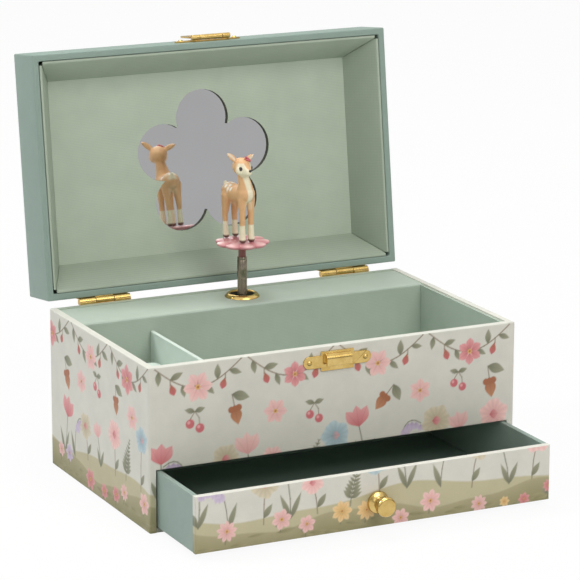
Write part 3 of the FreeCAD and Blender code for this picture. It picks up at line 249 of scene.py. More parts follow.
def print_meadow(paper, hands):
    """Tall flowers and ferns on the far hill, one kind after another. Gives the places of their heads."""
    heads = []
    for count, at in enumerate(steps_along(hands, 12, 20), 1):
        flower, wash, eye = MEADOW[count % len(MEADOW)]
        ground = float(far_hill(at)) - 3
        lean = hands.uniform(-0.22, 0.22)
        if flower == "round bloom":
            tall = hands.uniform(14, 25)
            head = (at + tall * lean, ground + tall)
            print_stem(paper, [(at, ground), (at + 0.3 * tall * lean, ground + tall / 2), head], 0.5, TWIG)
            print_leaf(paper, (at, ground + 3), math.pi / 2 - 0.6, 7.5, 1.5)
            print_round_bloom(paper, head, hands.uniform(5.2, 7.4), hands.uniform(0, 6), wash, eye)
            heads.append(head)
        elif flower == "tulip":
            tall = hands.uniform(13, 20)
            print_tulip(paper, (at, ground), tall, lean, wash)
            heads.append((at + tall * lean, ground + 1.25 * tall))
        elif flower == "bells":
            tall = hands.uniform(18, 25)
            side = math.copysign(1, lean)
            print_bells(paper, (at, ground), tall, side, wash)
            heads.append((at + side * 0.4 * tall, ground + 0.9 * tall))
        else:
            print_fern(paper, (at, ground), hands.uniform(17, 23), 3 * lean)
    return heads


def print_grass(paper, hands):
    """Flat blades on the near hill, and small blossoms on short stalks among them."""
    for at in steps_along(hands, 4, 9):
        print_petal(paper, (at, hands.uniform(0, 7)), hands.uniform(-0.2, 0.2), hands.uniform(6, 13),
                    hands.uniform(0.7, 1.3), (GROUND_DEEP, GROUND), 1.0)
    washes = (ROSE_WASH, PINK_WASH, PINK_WASH, LILAC_WASH, OCHRE_WASH, OCHRE_WASH)
    for at in steps_along(hands, 9, 28):
        spot = (at, hands.uniform(4, 13))
        wash = hands.choice(washes)
        print_stem(paper, [(at - 0.8, spot[1] - 6), spot], 0.45, LEAF_DARK)
        print_leaf(paper, (at - 0.6, spot[1] - 4), math.pi / 2 + 0.8, 4.5, 1.0)
        size = hands.uniform(2.6, 5.8)
        turn = hands.uniform(0, 6)
        print_blossom(paper, spot, size, turn, wash, hands.choice((6, 7, 9)))


def print_sprigs(paper, hands, heads):
    """Tossed acorns, blossoms and berries, in turn, where no flower of the meadow stands in their way."""
    row = 0
    for at in steps_along(hands, 17, 24):
        spot = (at, 51 + hands.uniform(-4, 4))
        if min(math.dist(spot, head) for head in heads) < 13:
            continue
        row = (row + 1) % 3
        if row == 1:
            print_acorn(paper, spot, hands.uniform(7, 8.5), hands.uniform(3.6, 5.6))
        elif row == 2:
            print_blossom(paper, spot, hands.uniform(5.5, 7.0), hands.uniform(0, 6), PINK_WASH, 6)
        else:
            print_berries(paper, (spot[0], spot[1] + 4), hands.uniform(8, 9.5))


SWAG, SWAG_TOP, SWAG_DROP = 47.0, 79.0, 12.5


def print_festoon(paper, hands):
    """A leafy vine that hangs in swags from the top edge, with two buds and a blossom in each."""
    for k in range(int(PAPER_FIRST / SWAG) - 1, int(PAPER_LAST / SWAG) + 1):
        vine = []
        for share in np.linspace(0, 1, 25):
            vine.append(((k + share) * SWAG, SWAG_TOP - SWAG_DROP * math.sin(math.pi * share)))
        print_stem(paper, vine, 0.55, TWIG)
        for j in range(2, 24, 3):
            slope = math.atan2(vine[j + 1][1] - vine[j][1], vine[j + 1][0] - vine[j][0])
            side = 1 if j % 2 else -1
            length = hands.uniform(5.6, 7.6)
            print_leaf(paper, vine[j], slope + side * hands.uniform(0.7, 1.1), length, length * 0.22)
        for j, lean in ((5, 0.3), (19, -0.3)):
            root = (vine[j][0], vine[j][1] - 1.5)
            print_petal(paper, root, lean - math.pi / 2, hands.uniform(5.5, 7), 1.7, (CHESTNUT, ROSE), 1.5)
            print_stem(paper, [vine[j], (vine[j][0], vine[j][1] - 2.5)], 0.5, TWIG)
        wash = ROSE_WASH if k % 2 else PINK_WASH
        print_blossom(paper, vine[11 + k % 3], hands.uniform(6.2, 7.4), 0.5 * k, wash, 6)


def printed_paper(s, z):
    """The colour of the wrapping paper, s along it round the case and z up it, both in millimetres."""
    hands = random.Random(PRINT_SEED)
    sheet = np.repeat(PAPER[None, :], len(s), 0)
    paper = (sheet, s, z)
    everywhere = np.arange(len(s))
    lay_ink(paper, everywhere, (z - far_hill(s)) * 0.6, FAR_HILL)
    heads = print_meadow(paper, hands)
    depth = np.clip((near_hill(s) - z) / 12, 0, 1)[:, None]
    lay_ink(paper, everywhere, (z - near_hill(s)) * 0.6, GROUND + (GROUND_DEEP - GROUND) * depth)
    print_grass(paper, hands)
    print_sprigs(paper, hands, heads)
    print_festoon(paper, hands)
    return sheet


def fill_sockets(tree, node, inputs):
    """Gives the inputs of a node their values, or links them to the output of another node."""
    for name, value in inputs.items():
        if isinstance(value, bpy.types.NodeSocket):
            tree.links.new(value, node.inputs[name])
        else:
            node.inputs[name].default_value = value


def new_node(tree, kind, inputs, **settings):
    node = tree.nodes.new("ShaderNode" + kind)
    for name, value in settings.items():
        setattr(node, name, value)
    fill_sockets(tree, node, inputs)
    return node


def new_finish(name, inputs):
    """A finish with its gloss and the like set: its material, its node tree and its shader."""
    finish = bpy.data.materials.new(name)
    finish.use_nodes = True
    tree = finish.node_tree
    shader = tree.nodes["Principled BSDF"]
    fill_sockets(tree, shader, inputs)
    return finish, tree, shader


def object_place(tree, **inputs):
    """The place on the piece itself, scaled or turned."""
    place = new_node(tree, "TexCoord", {})
    return new_node(tree, "Mapping", {"Vector": place.outputs["Object"], **inputs}).outputs["Vector"]


def speckle(tree, size_mm, detail=3.0, stretch=(1, 1, 1)):
    """Cloudy noise whose spots are about size_mm wide, fixed to the piece."""
    place = object_place(tree, Scale=stretch)
    noise = new_node(tree, "TexNoise", {"Vector": place, "Scale": 1 / (size_mm * MM), "Detail": detail})
    return noise.outputs["Fac"]


def ramp(tree, value, low, high, start=0.3, end=0.7):
    """A colour between two tones, following a value."""
    node = new_node(tree, "ValToRGB", {"Fac": value})
    for element, position, tone in zip(node.color_ramp.elements, (start, end), (low, high)):
        element.position = position
        element.color = (*tone, 1)
    return node.outputs["Color"]


def multiply(tree, first, second):
    inputs = {"Factor": 1, "A": first, "B": second}
    return new_node(tree, "Mix", inputs, data_type="RGBA", blend_type="MULTIPLY").outputs["Result"]


def painted(tree, name):
    """The colours that the points of a piece carry under a name."""
    return new_node(tree, "Attribute", {}, attribute_name=name).outputs["Color"]


def coloured(tree, shader, colour):
    fill_sockets(tree, shader, {"Base Color": colour})


def relief(tree, shader, height, depth_mm, strength):
    bump = new_node(tree, "Bump", {"Height": height, "Strength": strength, "Distance": depth_mm * MM})
    fill_sockets(tree, shader, {"Normal": bump.outputs["Normal"]})


def vary_gloss(tree, shader, value, low, high):
    spread = new_node(tree, "MapRange", {"Value": value, "To Min": low, "To Max": high})
    fill_sockets(tree, shader, {"Roughness": spread.outputs["Result"]})


WHITE_TONE = (1, 1, 1)
printed_finish, tree, shader = new_finish("printed paper", {"Specular IOR Level": 0.35})
wash = ramp(tree, speckle(tree, 9, 4), (0.93, 0.935, 0.94), WHITE_TONE)
fibre = ramp(tree, speckle(tree, 0.5, 2), (0.96, 0.96, 0.95), WHITE_TONE)
coloured(tree, shader, multiply(tree, painted(tree, "print"), multiply(tree, wash, fibre)))
relief(tree, shader, speckle(tree, 0.35, 3), 0.03, 0.35)
vary_gloss(tree, shader, speckle(tree, 5, 3), 0.42, 0.56)


def box_mm(node):
    """The two far corners of a node, in millimetres."""
    return [Vector(corner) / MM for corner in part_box(node)]


def placed(name, mesh):
    piece = bpy.data.objects.new(name, mesh)
    bpy.context.scene.collection.objects.link(piece)
    return piece


def tinted(mesh, name, colours):
    """Gives the points of a mesh their colours, under a name that a finish reads."""
    shades = np.ones((len(mesh.vertices), 4))
    shades[:, :3] = colours
    mesh.attributes.new(name, "FLOAT_COLOR", "POINT").data.foreach_set("color", shades.ravel())


def settle(piece, slot_name, body, *nodes):
    """Says which nodes a piece stands for, by hiding them, and which body carries it. What it is made of,
    slot_name, is not used.
    """
    if nodes:
        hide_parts(*nodes)
    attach(piece, body)


def wrapped_wall(name, node, out, rounds, middle, fold=PAPER_FOLD):
    """A board in printed paper: a fine grid over its outer face, rolled over the edges and closed behind.

    rounds holds the edge radius at the start, the end, the bottom and the top of the outer face. middle is
    how far round the case, from the middle of the front, the middle of this wall lies."""
    low, high = box_mm(node)
    out = np.array(out)
    along = np.array((-out[1], out[0], 0))
    corner = np.where(out - along > 0, high, low)
    size = np.array(high - low)
    width, depth, height = size @ np.abs(along), size @ np.abs(out), size[2]
    columns = round(width / PRINT_CELL)
    rows = round(height / PRINT_CELL)
    a = np.linspace(rounds[0], width - rounds[1], columns + 1)
    b = np.linspace(rounds[2], height - rounds[3], rows + 1)
    grid_a, grid_b = np.meshgrid(a, b, indexing="ij")
    index = np.arange(grid_a.size).reshape(columns + 1, rows + 1)
    spots = [np.stack([grid_a.ravel(), grid_b.ravel(), np.zeros(grid_a.size)], 1)]
    quads = [np.stack([index[:-1, :-1], index[1:, :-1], index[1:, 1:], index[:-1, 1:]], -1).reshape(-1, 4)]
    rim = np.concatenate([index[:, 0], index[-1, 1:], index[-2::-1, -1], index[0, -2:0:-1]])
    rim_a, rim_b = spots[0][rim, :2].T
    push_a = np.where(rim_a <= a[0], -rounds[0], np.where(rim_a >= a[-1], rounds[1], 0.0))
    push_b = np.where(rim_b <= b[0], -rounds[2], np.where(rim_b >= b[-1], rounds[3], 0.0))
    at_corner = (push_a != 0) & (push_b != 0)
    roll = (np.abs(push_a) + np.abs(push_b)) / np.where(at_corner, 2, 1)
    steps = [(math.sin(t), 1 - math.cos(t), 0.0) for t in np.linspace(0, math.pi / 2, ROLL_STEPS + 1)[1:]]
    steps += [(1.0, 1.0, share) for share in np.linspace(0, 1, RETURN_STEPS + 1)[1:]]
    count = grid_a.size
    for push, sink, share in steps:
        deep = roll * sink + (depth - roll) * share
        spots.append(np.stack([rim_a + push_a * push, rim_b + push_b * push, deep], 1))
        next_rim = np.arange(count, count + len(rim))
        count += len(rim)
        quads.append(np.stack([rim, next_rim, np.roll(next_rim, -1), np.roll(rim, -1)], -1))
        rim = next_rim
    spots = np.concatenate(spots)
    places = corner + spots @ np.array([along, (0, 0, 1), -out])
    mesh = bpy.data.meshes.new(name)
    mesh.from_pydata(places * MM, [], np.concatenate(quads).tolist() + [rim[::-1].tolist()])
    s = np.where(spots[:, 2] < EDGE_SHOWS, middle + places @ along, places[:, 0])
    colours = printed_paper(s, places[:, 2])
    colours[places[:, 2] > high.z - FOLD_SHOWS] = fold
    tinted(mesh, "print", colours)
    mesh.materials.append(printed_finish)
    mesh.shade_smooth()
    mesh.set_sharp_from_angle(angle=math.radians(40))
    return placed(name, mesh)


SIDE_ROUNDS = (0.8, 0.8, 0.4, 0.6)
FRONT_ROUNDS = (0.05, 0.05, 0.5, 0.6)
BACK_ROUNDS = (0.05, 0.05, 0.4, 0.6)
for name, out, rounds, middle, fold in (("left_wall", (-1, 0, 0), SIDE_ROUNDS, -QUARTER_ROUND, PAPER_FOLD),
                                        ("right_wall", (1, 0, 0), SIDE_ROUNDS, QUARTER_ROUND, PAPER_FOLD),
                                        ("front_panel", (0, -1, 0), FRONT_ROUNDS, 0, PAPER_FOLD),
                                        ("back_wall", (0, 1, 0), BACK_ROUNDS, 2 * QUARTER_ROUND, BACK_FOLD)):
    wall = wrapped_wall(name + "_paper", "base_" + name, out, rounds, middle, fold)
    settle(wall, "printed_board", "base", "base_" + name)


# Inside, the case is lined with sage card that carries a fine pressed weave. The floor and the divider are
# thin boards covered in the same card, with their edges eased by the wrap. The divider's copy of the card is
# painted lighter and cooler, a painted light for the lamp from the left on its face. The bottom has plain
# grey paper.
MERGE = 1e-6
EASED_FROM = math.radians(35)


def woven(name, colour, pitch_mm, tilt=0.0):
    """Card with a pressed linen weave, a little uneven in tone. The tilt leans the threads with a piece."""
    finish, tree, shader = new_finish(name, {"Roughness": 0.62, "Specular IOR Level": 0.3})
    inputs = {"Vector": object_place(tree, Rotation=(tilt, 0, 0)), "Scale": 0.314 / (pitch_mm * MM),
              "Distortion": 1.2, "Detail": 2.0, "Detail Scale": 0.6}
    waves = [new_node(tree, "TexWave", inputs, bands_direction=way).outputs["Fac"] for way in "XYZ"]
    threads = waves[0]
    for wave in waves[1:]:
        layers = new_node(tree, "Math", {0: threads, 1: 0.5, 2: wave}, operation="MULTIPLY_ADD")
        threads = layers.outputs["Value"]
    tone = ramp(tree, threads, colour * 0.93, colour * 1.03, 0.2, 1.3)
    cloud = ramp(tree, speckle(tree, 14, 4), (0.95, 0.955, 0.95), (1.02, 1.02, 1.02))
    coloured(tree, shader, multiply(tree, tone, cloud))
    relief(tree, shader, threads, 0.06, 0.35)
    return finish


def merged_copy(node):
    """A copy of a node's shape, with its loose triangles joined."""
    form = bmesh.new()
    form.from_mesh(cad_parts[node].data)
    bmesh.ops.remove_doubles(form, verts=form.verts, dist=MERGE)
    return form


def cast(name, form):
    """A bare piece made from a built form."""
    mesh = bpy.data.meshes.new(name)
    form.to_mesh(mesh)
    form.free()
    return placed(name, mesh)


def bake(piece):
    """Makes what the modifiers give into the piece's own plain mesh."""
    seen = piece.evaluated_get(bpy.context.evaluated_depsgraph_get())
    piece.data = bpy.data.meshes.new_from_object(seen)
    piece.modifiers.clear()


def ease_edges(piece, radius_mm, segments, sharp_from, harden):
    bevel = piece.modifiers.new("eased edges", "BEVEL")
    bevel.width = radius_mm * MM
    bevel.segments = segments
    bevel.limit_method = "ANGLE"
    bevel.angle_limit = sharp_from
    bevel.harden_normals = harden
    bake(piece)


def eased(node, radius_mm, finish, body, slot_name):
    """A cut piece with its sharp edges eased, as sanding, pressing or wrapping leaves them."""
    form = merged_copy(node)
    bmesh.ops.dissolve_limit(form, angle_limit=math.radians(0.5), verts=form.verts, edges=form.edges)
    piece = cast(node + "_eased", form)
    piece.data.shade_smooth()
    piece.data.set_sharp_from_angle(angle=EASED_FROM)
    ease_edges(piece, radius_mm, 3, EASED_FROM, True)
    piece.data.materials.clear()
    piece.data.materials.append(finish)
    settle(piece, slot_name, body, node)


WEAVE = 0.75
sage_card = woven("sage lining card", ink(177, 190, 177), WEAVE)
eased("tray_floor_board", 0.35, sage_card, "base", "sage_board")
eased("tray_lining", 0.35, sage_card, "base", "sage_card")
# The divider gets a lighter, cooler copy of the sage card: painted light for the lamp from the left on its
# face.
lit_divider_card = woven("divider card painted lit", ink(212, 224, 214), WEAVE)
eased("tray_divider", 0.6, lit_divider_card, "base", "sage_card")
bottom_paper, tree, shader = new_finish("grey bottom paper", {"Roughness": 0.7})
coloured(tree, shader, ramp(tree, speckle(tree, 1.2, 5), ink(150, 152, 140), ink(172, 173, 160)))
relief(tree, shader, speckle(tree, 0.6, 4), 0.05, 0.4)
eased("base_bottom_board", 0.3, bottom_paper, "base", "sage_board")


# The deck and the housing front are covered by one sheet of the same card, folded over the front edge
# without a joint. A hole in the deck, on the axis of the figure, takes the grommet.
deck_low, deck_high = box_mm("deck_board")
front_low, front_high = box_mm("housing_front_board")
SPINDLE_Y = 43.0
HOLE_RADIUS = 6.4
HOLE_STEPS = 48
FOLD = 1.1
FOLD_STEPS = 5
FOLD_FLAT = 0.4


def round_spindle(radius, angle, height):
    """A place round the upright axis on which the figure turns, in metres."""
    return radius * math.cos(angle) * MM, (SPINDLE_Y + radius * math.sin(angle)) * MM, height * MM


def join_rings(form, rings, closed=True):
    """Faces between each ring of points and the next. A ring of one point is a pole."""
    for lower, upper in zip(rings, rings[1:]):
        steps = max(len(lower), len(upper))
        for k in range(steps if closed else steps - 1):
            round_face = ((lower, k), (lower, k + 1), (upper, k + 1), (upper, k))
            form.faces.new(list(dict.fromkeys(ring[j % len(ring)] for ring, j in round_face)))


def made(name, form, finish, bevel_mm=0.0, segments=3, smooth=35):
    """Turns a built form into a finished piece, with its edges eased where asked."""
    bmesh.ops.recalc_face_normals(form, faces=form.faces)
    piece = cast(name, form)
    if bevel_mm:
        ease_edges(piece, bevel_mm, segments, math.radians(40), False)
    piece.data.materials.append(finish)
    piece.data.shade_smooth()
    piece.data.set_sharp_from_angle(angle=math.radians(smooth))
    return piece


edge_line = [(deck_low.y + FOLD + FOLD_FLAT, deck_high.z)]
for k in range(FOLD_STEPS + 1):
    angle = math.pi / 2 * k / FOLD_STEPS
    edge_line.append((deck_low.y + FOLD * (1 - math.sin(angle)), deck_high.z - FOLD * (1 - math.cos(angle))))
edge_line += [(deck_low.y, deck_high.z - FOLD - FOLD_FLAT), (deck_low.y, front_low.z),
              (front_high.y, front_low.z), (front_high.y, deck_low.z)]
back_line = [(deck_high.y, deck_high.z), (deck_high.y, deck_low.z)]
form = bmesh.new()
deck_sides = (deck_low.x, deck_high.x)
ends, backs = [[[form.verts.new((x * MM, y * MM, z * MM)) for y, z in line] for x in deck_sides]
               for line in (edge_line, back_line)]
join_rings(form, ends, closed=False)
join_rings(form, backs, closed=False)
for end, back in zip(ends, backs):
    form.faces.new(end + back[::-1])
angles = [2 * math.pi * k / HOLE_STEPS for k in range(HOLE_STEPS)]
circles = []
for z, row in ((deck_high.z, 0), (deck_low.z, -1)):
    circle = [form.verts.new(round_spindle(HOLE_RADIUS, angle, z)) for angle in angles]
    outline = [ends[0][row], ends[1][row], backs[1][row], backs[0][row]]
    loops = []
    for ring in (circle, outline):
        for pair in zip(ring, ring[1:] + ring[:1]):
            loops.append(form.edges.get(pair) or form.edges.new(pair))
    bmesh.ops.triangle_fill(form, edges=loops, use_beauty=True)
    circles.append(circle)
join_rings(form, circles)
housing_card = made("housing_card", form, sage_card, smooth=30)
settle(housing_card, "sage_board", "base", "deck_board", "housing_front_board")


# The ring cushion fills the left compartment. It is foam in three rolls under one sewn cloth, and rings are
# held in the slits between the rolls. The cloth is drawn down at both ends.
CUSHION_VOXEL = 1.3
CUSHION_SLACK = 0.985
CUSHION_GIVE = 0.45
CUSHION_RISE = 0.4
CUSHION_PRESSURE = 4
CUSHION_MOMENTS = 20
cushion_cloth, tree, shader = new_finish("cushion cloth", {"Roughness": 0.85, "Sheen Weight": 0.4,
                                                           "Sheen Roughness": 0.4})
nap = speckle(tree, 0.5, 5)
coloured(tree, shader, multiply(tree, ramp(tree, nap, ink(190, 203, 193), ink(214, 224, 215)),
                                ramp(tree, speckle(tree, 7, 3), (0.93, 0.94, 0.93), WHITE_TONE)))
relief(tree, shader, nap, 0.12, 0.5)
cushion = cast("ring_cushion_rolls", merged_copy("ring_cushion"))
remesh = cushion.modifiers.new("even cloth", "REMESH")
remesh.mode = "VOXEL"
remesh.voxel_size = CUSHION_VOXEL * MM
bake(cushion)
start = np.array([v.co for v in cushion.data.vertices])
middle = (start.min(0) + start.max(0)) / 2
slack = (start - middle) * CUSHION_SLACK + middle
cushion.data.vertices.foreach_set("co", slack.ravel())
cloth = cushion.modifiers.new("stuffing", "CLOTH")
cloth.settings.use_pressure = True
cloth.settings.uniform_pressure_force = CUSHION_PRESSURE
cloth.settings.effector_weights.gravity = 0
for moment in range(1, CUSHION_MOMENTS + 1):
    bpy.context.scene.frame_set(moment)
seen = cushion.evaluated_get(bpy.context.evaluated_depsgraph_get())
moved = np.array([v.co for v in seen.data.vertices]) - slack
cushion.modifiers.clear()
reach = np.linalg.norm(moved, axis=1)[:, None]
slack = slack + moved * np.minimum(1, CUSHION_GIVE * MM / np.maximum(reach, 1e-9))
cushion_low, cushion_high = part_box("ring_cushion")
slack = np.clip(slack, np.array(cushion_low), np.array(cushion_high) + (0, 0, CUSHION_RISE * MM))
cushion.data.vertices.foreach_set("co", slack.ravel())
bpy.context.scene.frame_set(1)
finer = cushion.modifiers.new("soft surface", "SUBSURF")
finer.levels = 1
finer.render_levels = 1
bake(cushion)
cushion.data.materials.clear()
cushion.data.materials.append(cushion_cloth)
cushion.data.shade_smooth()
settle(cushion, "cushion_cloth", "base", "ring_cushion")


# The music movement sits closed in under the deck. Its bedplate, comb, shafts and key are steel, its barrel,
# wheels and pinned cylinder are brass, all left with fine turning marks.
def metal(name, light, dark, roughness, streak=(1, 1, 1)):
    """A metal of uneven tone and gloss. A streak draws its spots out along the piece."""
    finish, tree, shader = new_finish(name, {"Metallic": 1.0})
    coloured(tree, shader, ramp(tree, speckle(tree, 5, 4, streak), dark, light))
    vary_gloss(tree, shader, speckle(tree, 1.5, 4, streak), roughness * 0.8, roughness * 1.25)
    relief(tree, shader, speckle(tree, 3.5, 1), 0.02, 0.06)
    return finish


def finish_nodes(finish, *nodes):
    """Gives nodes that are shown as they were cut their finish."""
    for node in nodes:
        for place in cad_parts[node].material_slots:
            place.material = finish


brass = metal("brass", ink(216, 188, 122), ink(194, 162, 92), 0.22)
steel = metal("bright steel", ink(172, 161, 143), ink(132, 122, 106), 0.27, (6, 6, 0.6))
finish_nodes(steel, "bedplate", "music_comb", "winding_arbor", "cylinder_arbor", "spindle", "spindle_pinion",
             "governor_fan")
finish_nodes(brass, "spring_barrel", "cylinder_wheel", "music_cylinder", "governor_wheel")
eased("winding_key", 0.45, steel, "barrel", "steel")


# The drawer is five thin boards. Its sides, back and floor are covered in plain sage paper, its front
# carries the printed paper with the meadow, and a turned brass knob is held by a screw through it.
def plain_paper(name, colour):
    """Smooth sage paper with a fine leather grain and soft clouds of tone."""
    finish, tree, shader = new_finish(name, {"Specular IOR Level": 0.35})
    tone = ramp(tree, speckle(tree, 9, 3), colour * 0.97, colour * 1.02)
    fleck = ramp(tree, speckle(tree, 0.7, 3), (0.96, 0.965, 0.96), WHITE_TONE)
    coloured(tree, shader, multiply(tree, tone, fleck))
    relief(tree, shader, speckle(tree, 0.8, 4), 0.06, 0.4)
    vary_gloss(tree, shader, speckle(tree, 4, 3), 0.4675, 0.605)
    return finish


def turned(name, profile, steps, finish):
    """A piece turned on a lathe: (radius, height) pairs in millimetres, spun round the vertical axis."""
    form = bmesh.new()
    rings = []
    for radius, height in profile:
        ring = []
        for k in range(steps if radius > 0 else 1):
            angle = 2 * math.pi * k / steps
            spot = (radius * math.cos(angle) * MM, radius * math.sin(angle) * MM, height * MM)
            ring.append(form.verts.new(spot))
        rings.append(ring)
    join_rings(form, rings)
    return made(name, form, finish, smooth=38)


drawer_paper = plain_paper("drawer paper", ink(145, 163, 154))
for node in ("drawer_left_side", "drawer_right_side", "drawer_back", "drawer_bottom"):
    eased(node, 0.3, drawer_paper, "drawer", "drawer_board")
drawer_front = wrapped_wall("drawer_front_paper", "drawer_front", (0, -1, 0), (0.5, 0.5, 0.4, 0.5), 0)
settle(drawer_front, "printed_board", "drawer", "drawer_front")
knob_low, knob_high = box_mm("drawer_knob")
knob_length = knob_high.y - knob_low.y
knob_profile = [(0, 0), (4.9, 0), (5.25, 0.3), (5.3, 1.0), (5.05, 1.5), (4.2, 1.9), (3.3, 2.5), (2.9, 3.4),
                (2.95, 4.4), (3.4, 5.4), (4.2, 6.2), (4.6, 6.8), (4.7, 7.4), (4.7, 8.7), (4.55, 9.4),
                (4.15, 9.85), (3.6, knob_length - 0.04), (0, knob_length)]
knob = turned("turned_knob", knob_profile, 64, brass)
knob.data.transform(Matrix.Translation((0, knob_high.y * MM, (knob_low.z + knob_high.z) / 2 * MM))
                    @ Matrix.Rotation(math.pi / 2, 4, "X"))
settle(knob, "brass", "drawer", "drawer_knob")
finish_nodes(steel, "knob_screw")


# The lid is five boards under one sheet of plain sage paper, so no joint shows outside. It stands open,
# leaning back a little on its hinges.
HINGE_Y = 61.5
HINGE_Z = 78.9
LID_LEAN = math.radians(7.4)
LID_BACK, LID_FRONT = -2.0, -121.0
LID_MIDDLE = (LID_BACK + LID_FRONT) / 2
LID_RIM, LID_TOP, LID_CEILING = -0.5, 24.1, 21.5
LID_WALL = 3.3
SQUARE = ((-1, -1), (1, -1), (1, 1), (-1, 1))


def lid_place(x, y, z):
    """Where a point of the shut lid's own frame stands on the open lid, in metres."""
    lean_sin, lean_cos = math.sin(LID_LEAN), math.cos(LID_LEAN)
    return Vector((x, HINGE_Y - lean_sin * y + lean_cos * z, HINGE_Z - lean_cos * y - lean_sin * z)) * MM


def lid_ring(form, half_x, half_y, z):
    """The four corners of an oblong round the middle of the lid."""
    corners = [lid_place(across * half_x, LID_MIDDLE + along * half_y, z) for across, along in SQUARE]
    return [form.verts.new(corner) for corner in corners]


lid_half = (LID_BACK - LID_FRONT) / 2
form = bmesh.new()
rings = [lid_ring(form, CASE_X - wall, lid_half - wall, z)
         for wall, z in ((0, LID_TOP), (0, LID_RIM), (LID_WALL, LID_RIM), (LID_WALL, LID_CEILING))]
form.faces.new(rings[0])
join_rings(form, rings)
form.faces.new(rings[-1][::-1])
lid_paper = plain_paper("lid paper", ink(140, 159, 149))
lid_shell = made("lid_shell_paper", form, lid_paper, 0.7, 4)
settle(lid_shell, "lid_paper_board", "lid",
       "lid_top_board", "lid_front_wall", "lid_back_wall", "lid_left_wall", "lid_right_wall")


# The hollow of the lid is lined with a folded card, whose four flaps slope in to the mirror board and leave
# a small open slit at each corner. The flaps' card is a darker copy of the board's card, a painted shade for
# the hollow of the lid. The board has a flower cut-out, and the mirror lies behind it.
LINER_RIM, LINER_BOARD, LINER_CARD = -0.2, 19.0, 1.2
LINER_RIM_HALF = (90.35, 54.85)
LINER_BOARD_HALF = (80.4, 44.9)
LID_WEAVE = 0.8
# The flaps' card is painted darker than the board's card: painted shade for the hollow of the lid.
shaded_liner_card = woven("lid lining card painted shaded", ink(168, 180, 163), LID_WEAVE, LID_LEAN)
form = bmesh.new()
for turn in range(4):
    across_axis, away_axis = (0, 1) if turn % 2 == 0 else (1, 0)
    sense = 1 if turn < 2 else -1
    rim, inside = LINER_RIM_HALF[across_axis], LINER_BOARD_HALF[across_axis]
    rim_away, inside_away = LINER_RIM_HALF[away_axis], LINER_BOARD_HALF[away_axis]
    nip = rim - 0.25 - 0.05 * (rim - inside)
    nip_away = rim_away - 0.08 * (rim_away - inside_away)
    nip_z = LINER_RIM + 1.5
    flap = [(0.6 - rim, rim_away, LINER_RIM), (rim - 0.6, rim_away, LINER_RIM), (nip, nip_away, nip_z),
            (inside, inside_away, LINER_BOARD), (-inside, inside_away, LINER_BOARD), (-nip, nip_away, nip_z)]
    sheets = []
    for lift in (0.0, LINER_CARD):
        sheet = []
        for across, outward, z in flap:
            spot = [0, 0]
            spot[across_axis] = across
            spot[away_axis] = sense * (outward + lift)
            sheet.append(form.verts.new(lid_place(spot[0], LID_MIDDLE + spot[1], z)))
        sheets.append(sheet)
    form.faces.new(sheets[0])
    form.faces.new(sheets[1][::-1])
    join_rings(form, sheets)
liner = made("lid_liner_card", form, shaded_liner_card, 0.25)
settle(liner, "sage_card", "lid", "lid_liner")

BOARD_CARD = 1.5
BOARD_HALF = (90.3, 54.8)
PETAL_REACH, PETAL_ROUND, PETAL_STEPS = 22.8, 14.2, 20
FLOWER_AT = (0.6, LID_MIDDLE + 1.85)
FLOWER_REACH = 40
half = math.pi / 5
notch = PETAL_REACH * math.cos(half) + math.sqrt(PETAL_ROUND ** 2 - (PETAL_REACH * math.sin(half)) ** 2)
sweep = math.atan2(notch * math.sin(half), notch * math.cos(half) - PETAL_REACH)
flower = []
for petal in range(5):
    aim = math.pi / 2 + 2 * half * petal
    for k in range(PETAL_STEPS):
        turn = aim - sweep + 2 * sweep * k / PETAL_STEPS
        flower.append((FLOWER_AT[0] + PETAL_REACH * math.cos(aim) + PETAL_ROUND * math.cos(turn),
                       FLOWER_AT[1] - PETAL_REACH * math.sin(aim) - PETAL_ROUND * math.sin(turn)))
form = bmesh.new()
sides = []
for z in (LINER_BOARD, LINER_BOARD + BOARD_CARD):
    rings = [[form.verts.new(lid_place(x, y, z)) for x, y in flower], lid_ring(form, *BOARD_HALF, z)]
    rims = [form.edges.new(pair) for ring in rings for pair in zip(ring, ring[1:] + ring[:1])]
    bmesh.ops.triangle_fill(form, edges=rims, use_beauty=True)
    sides.append(rings)
for faces in zip(*sides):
    join_rings(form, faces)
board_card = woven("mirror board card", ink(180, 192, 175), LID_WEAVE, LID_LEAN)
mirror_board = made("mirror_board_card", form, board_card)
settle(mirror_board, "sage_card", "lid", "mirror_board")
# The cut edge round the flower is painted near black: painted shade for the recess round the mirror.
shade_painted_edge, tree, shader = new_finish("edge painted dark as shade", {"Roughness": 0.85})
coloured(tree, shader, ramp(tree, speckle(tree, 0.6, 4), ink(62, 64, 54), ink(84, 86, 74)))
relief(tree, shader, speckle(tree, 0.4, 3), 0.08, 0.5)
mirror_board.data.materials.append(shade_painted_edge)
board_middle = lid_place(*FLOWER_AT, LINER_BOARD)
board_facing = Vector((0, -math.cos(LID_LEAN), math.sin(LID_LEAN)))
for face in mirror_board.data.polygons:
    on_edge = abs(face.normal.dot(board_facing)) < 0.3
    face.material_index = int(on_edge and (face.center - board_middle).length < FLOWER_REACH * MM)
silvered, tree, shader = new_finish("silvered glass", {"Metallic": 1.0})
coloured(tree, shader, ramp(tree, speckle(tree, 45, 2), ink(236, 236, 238), ink(242, 242, 244)))
vary_gloss(tree, shader, speckle(tree, 18, 2), 0.02, 0.05)
finish_nodes(silvered, "mirror")


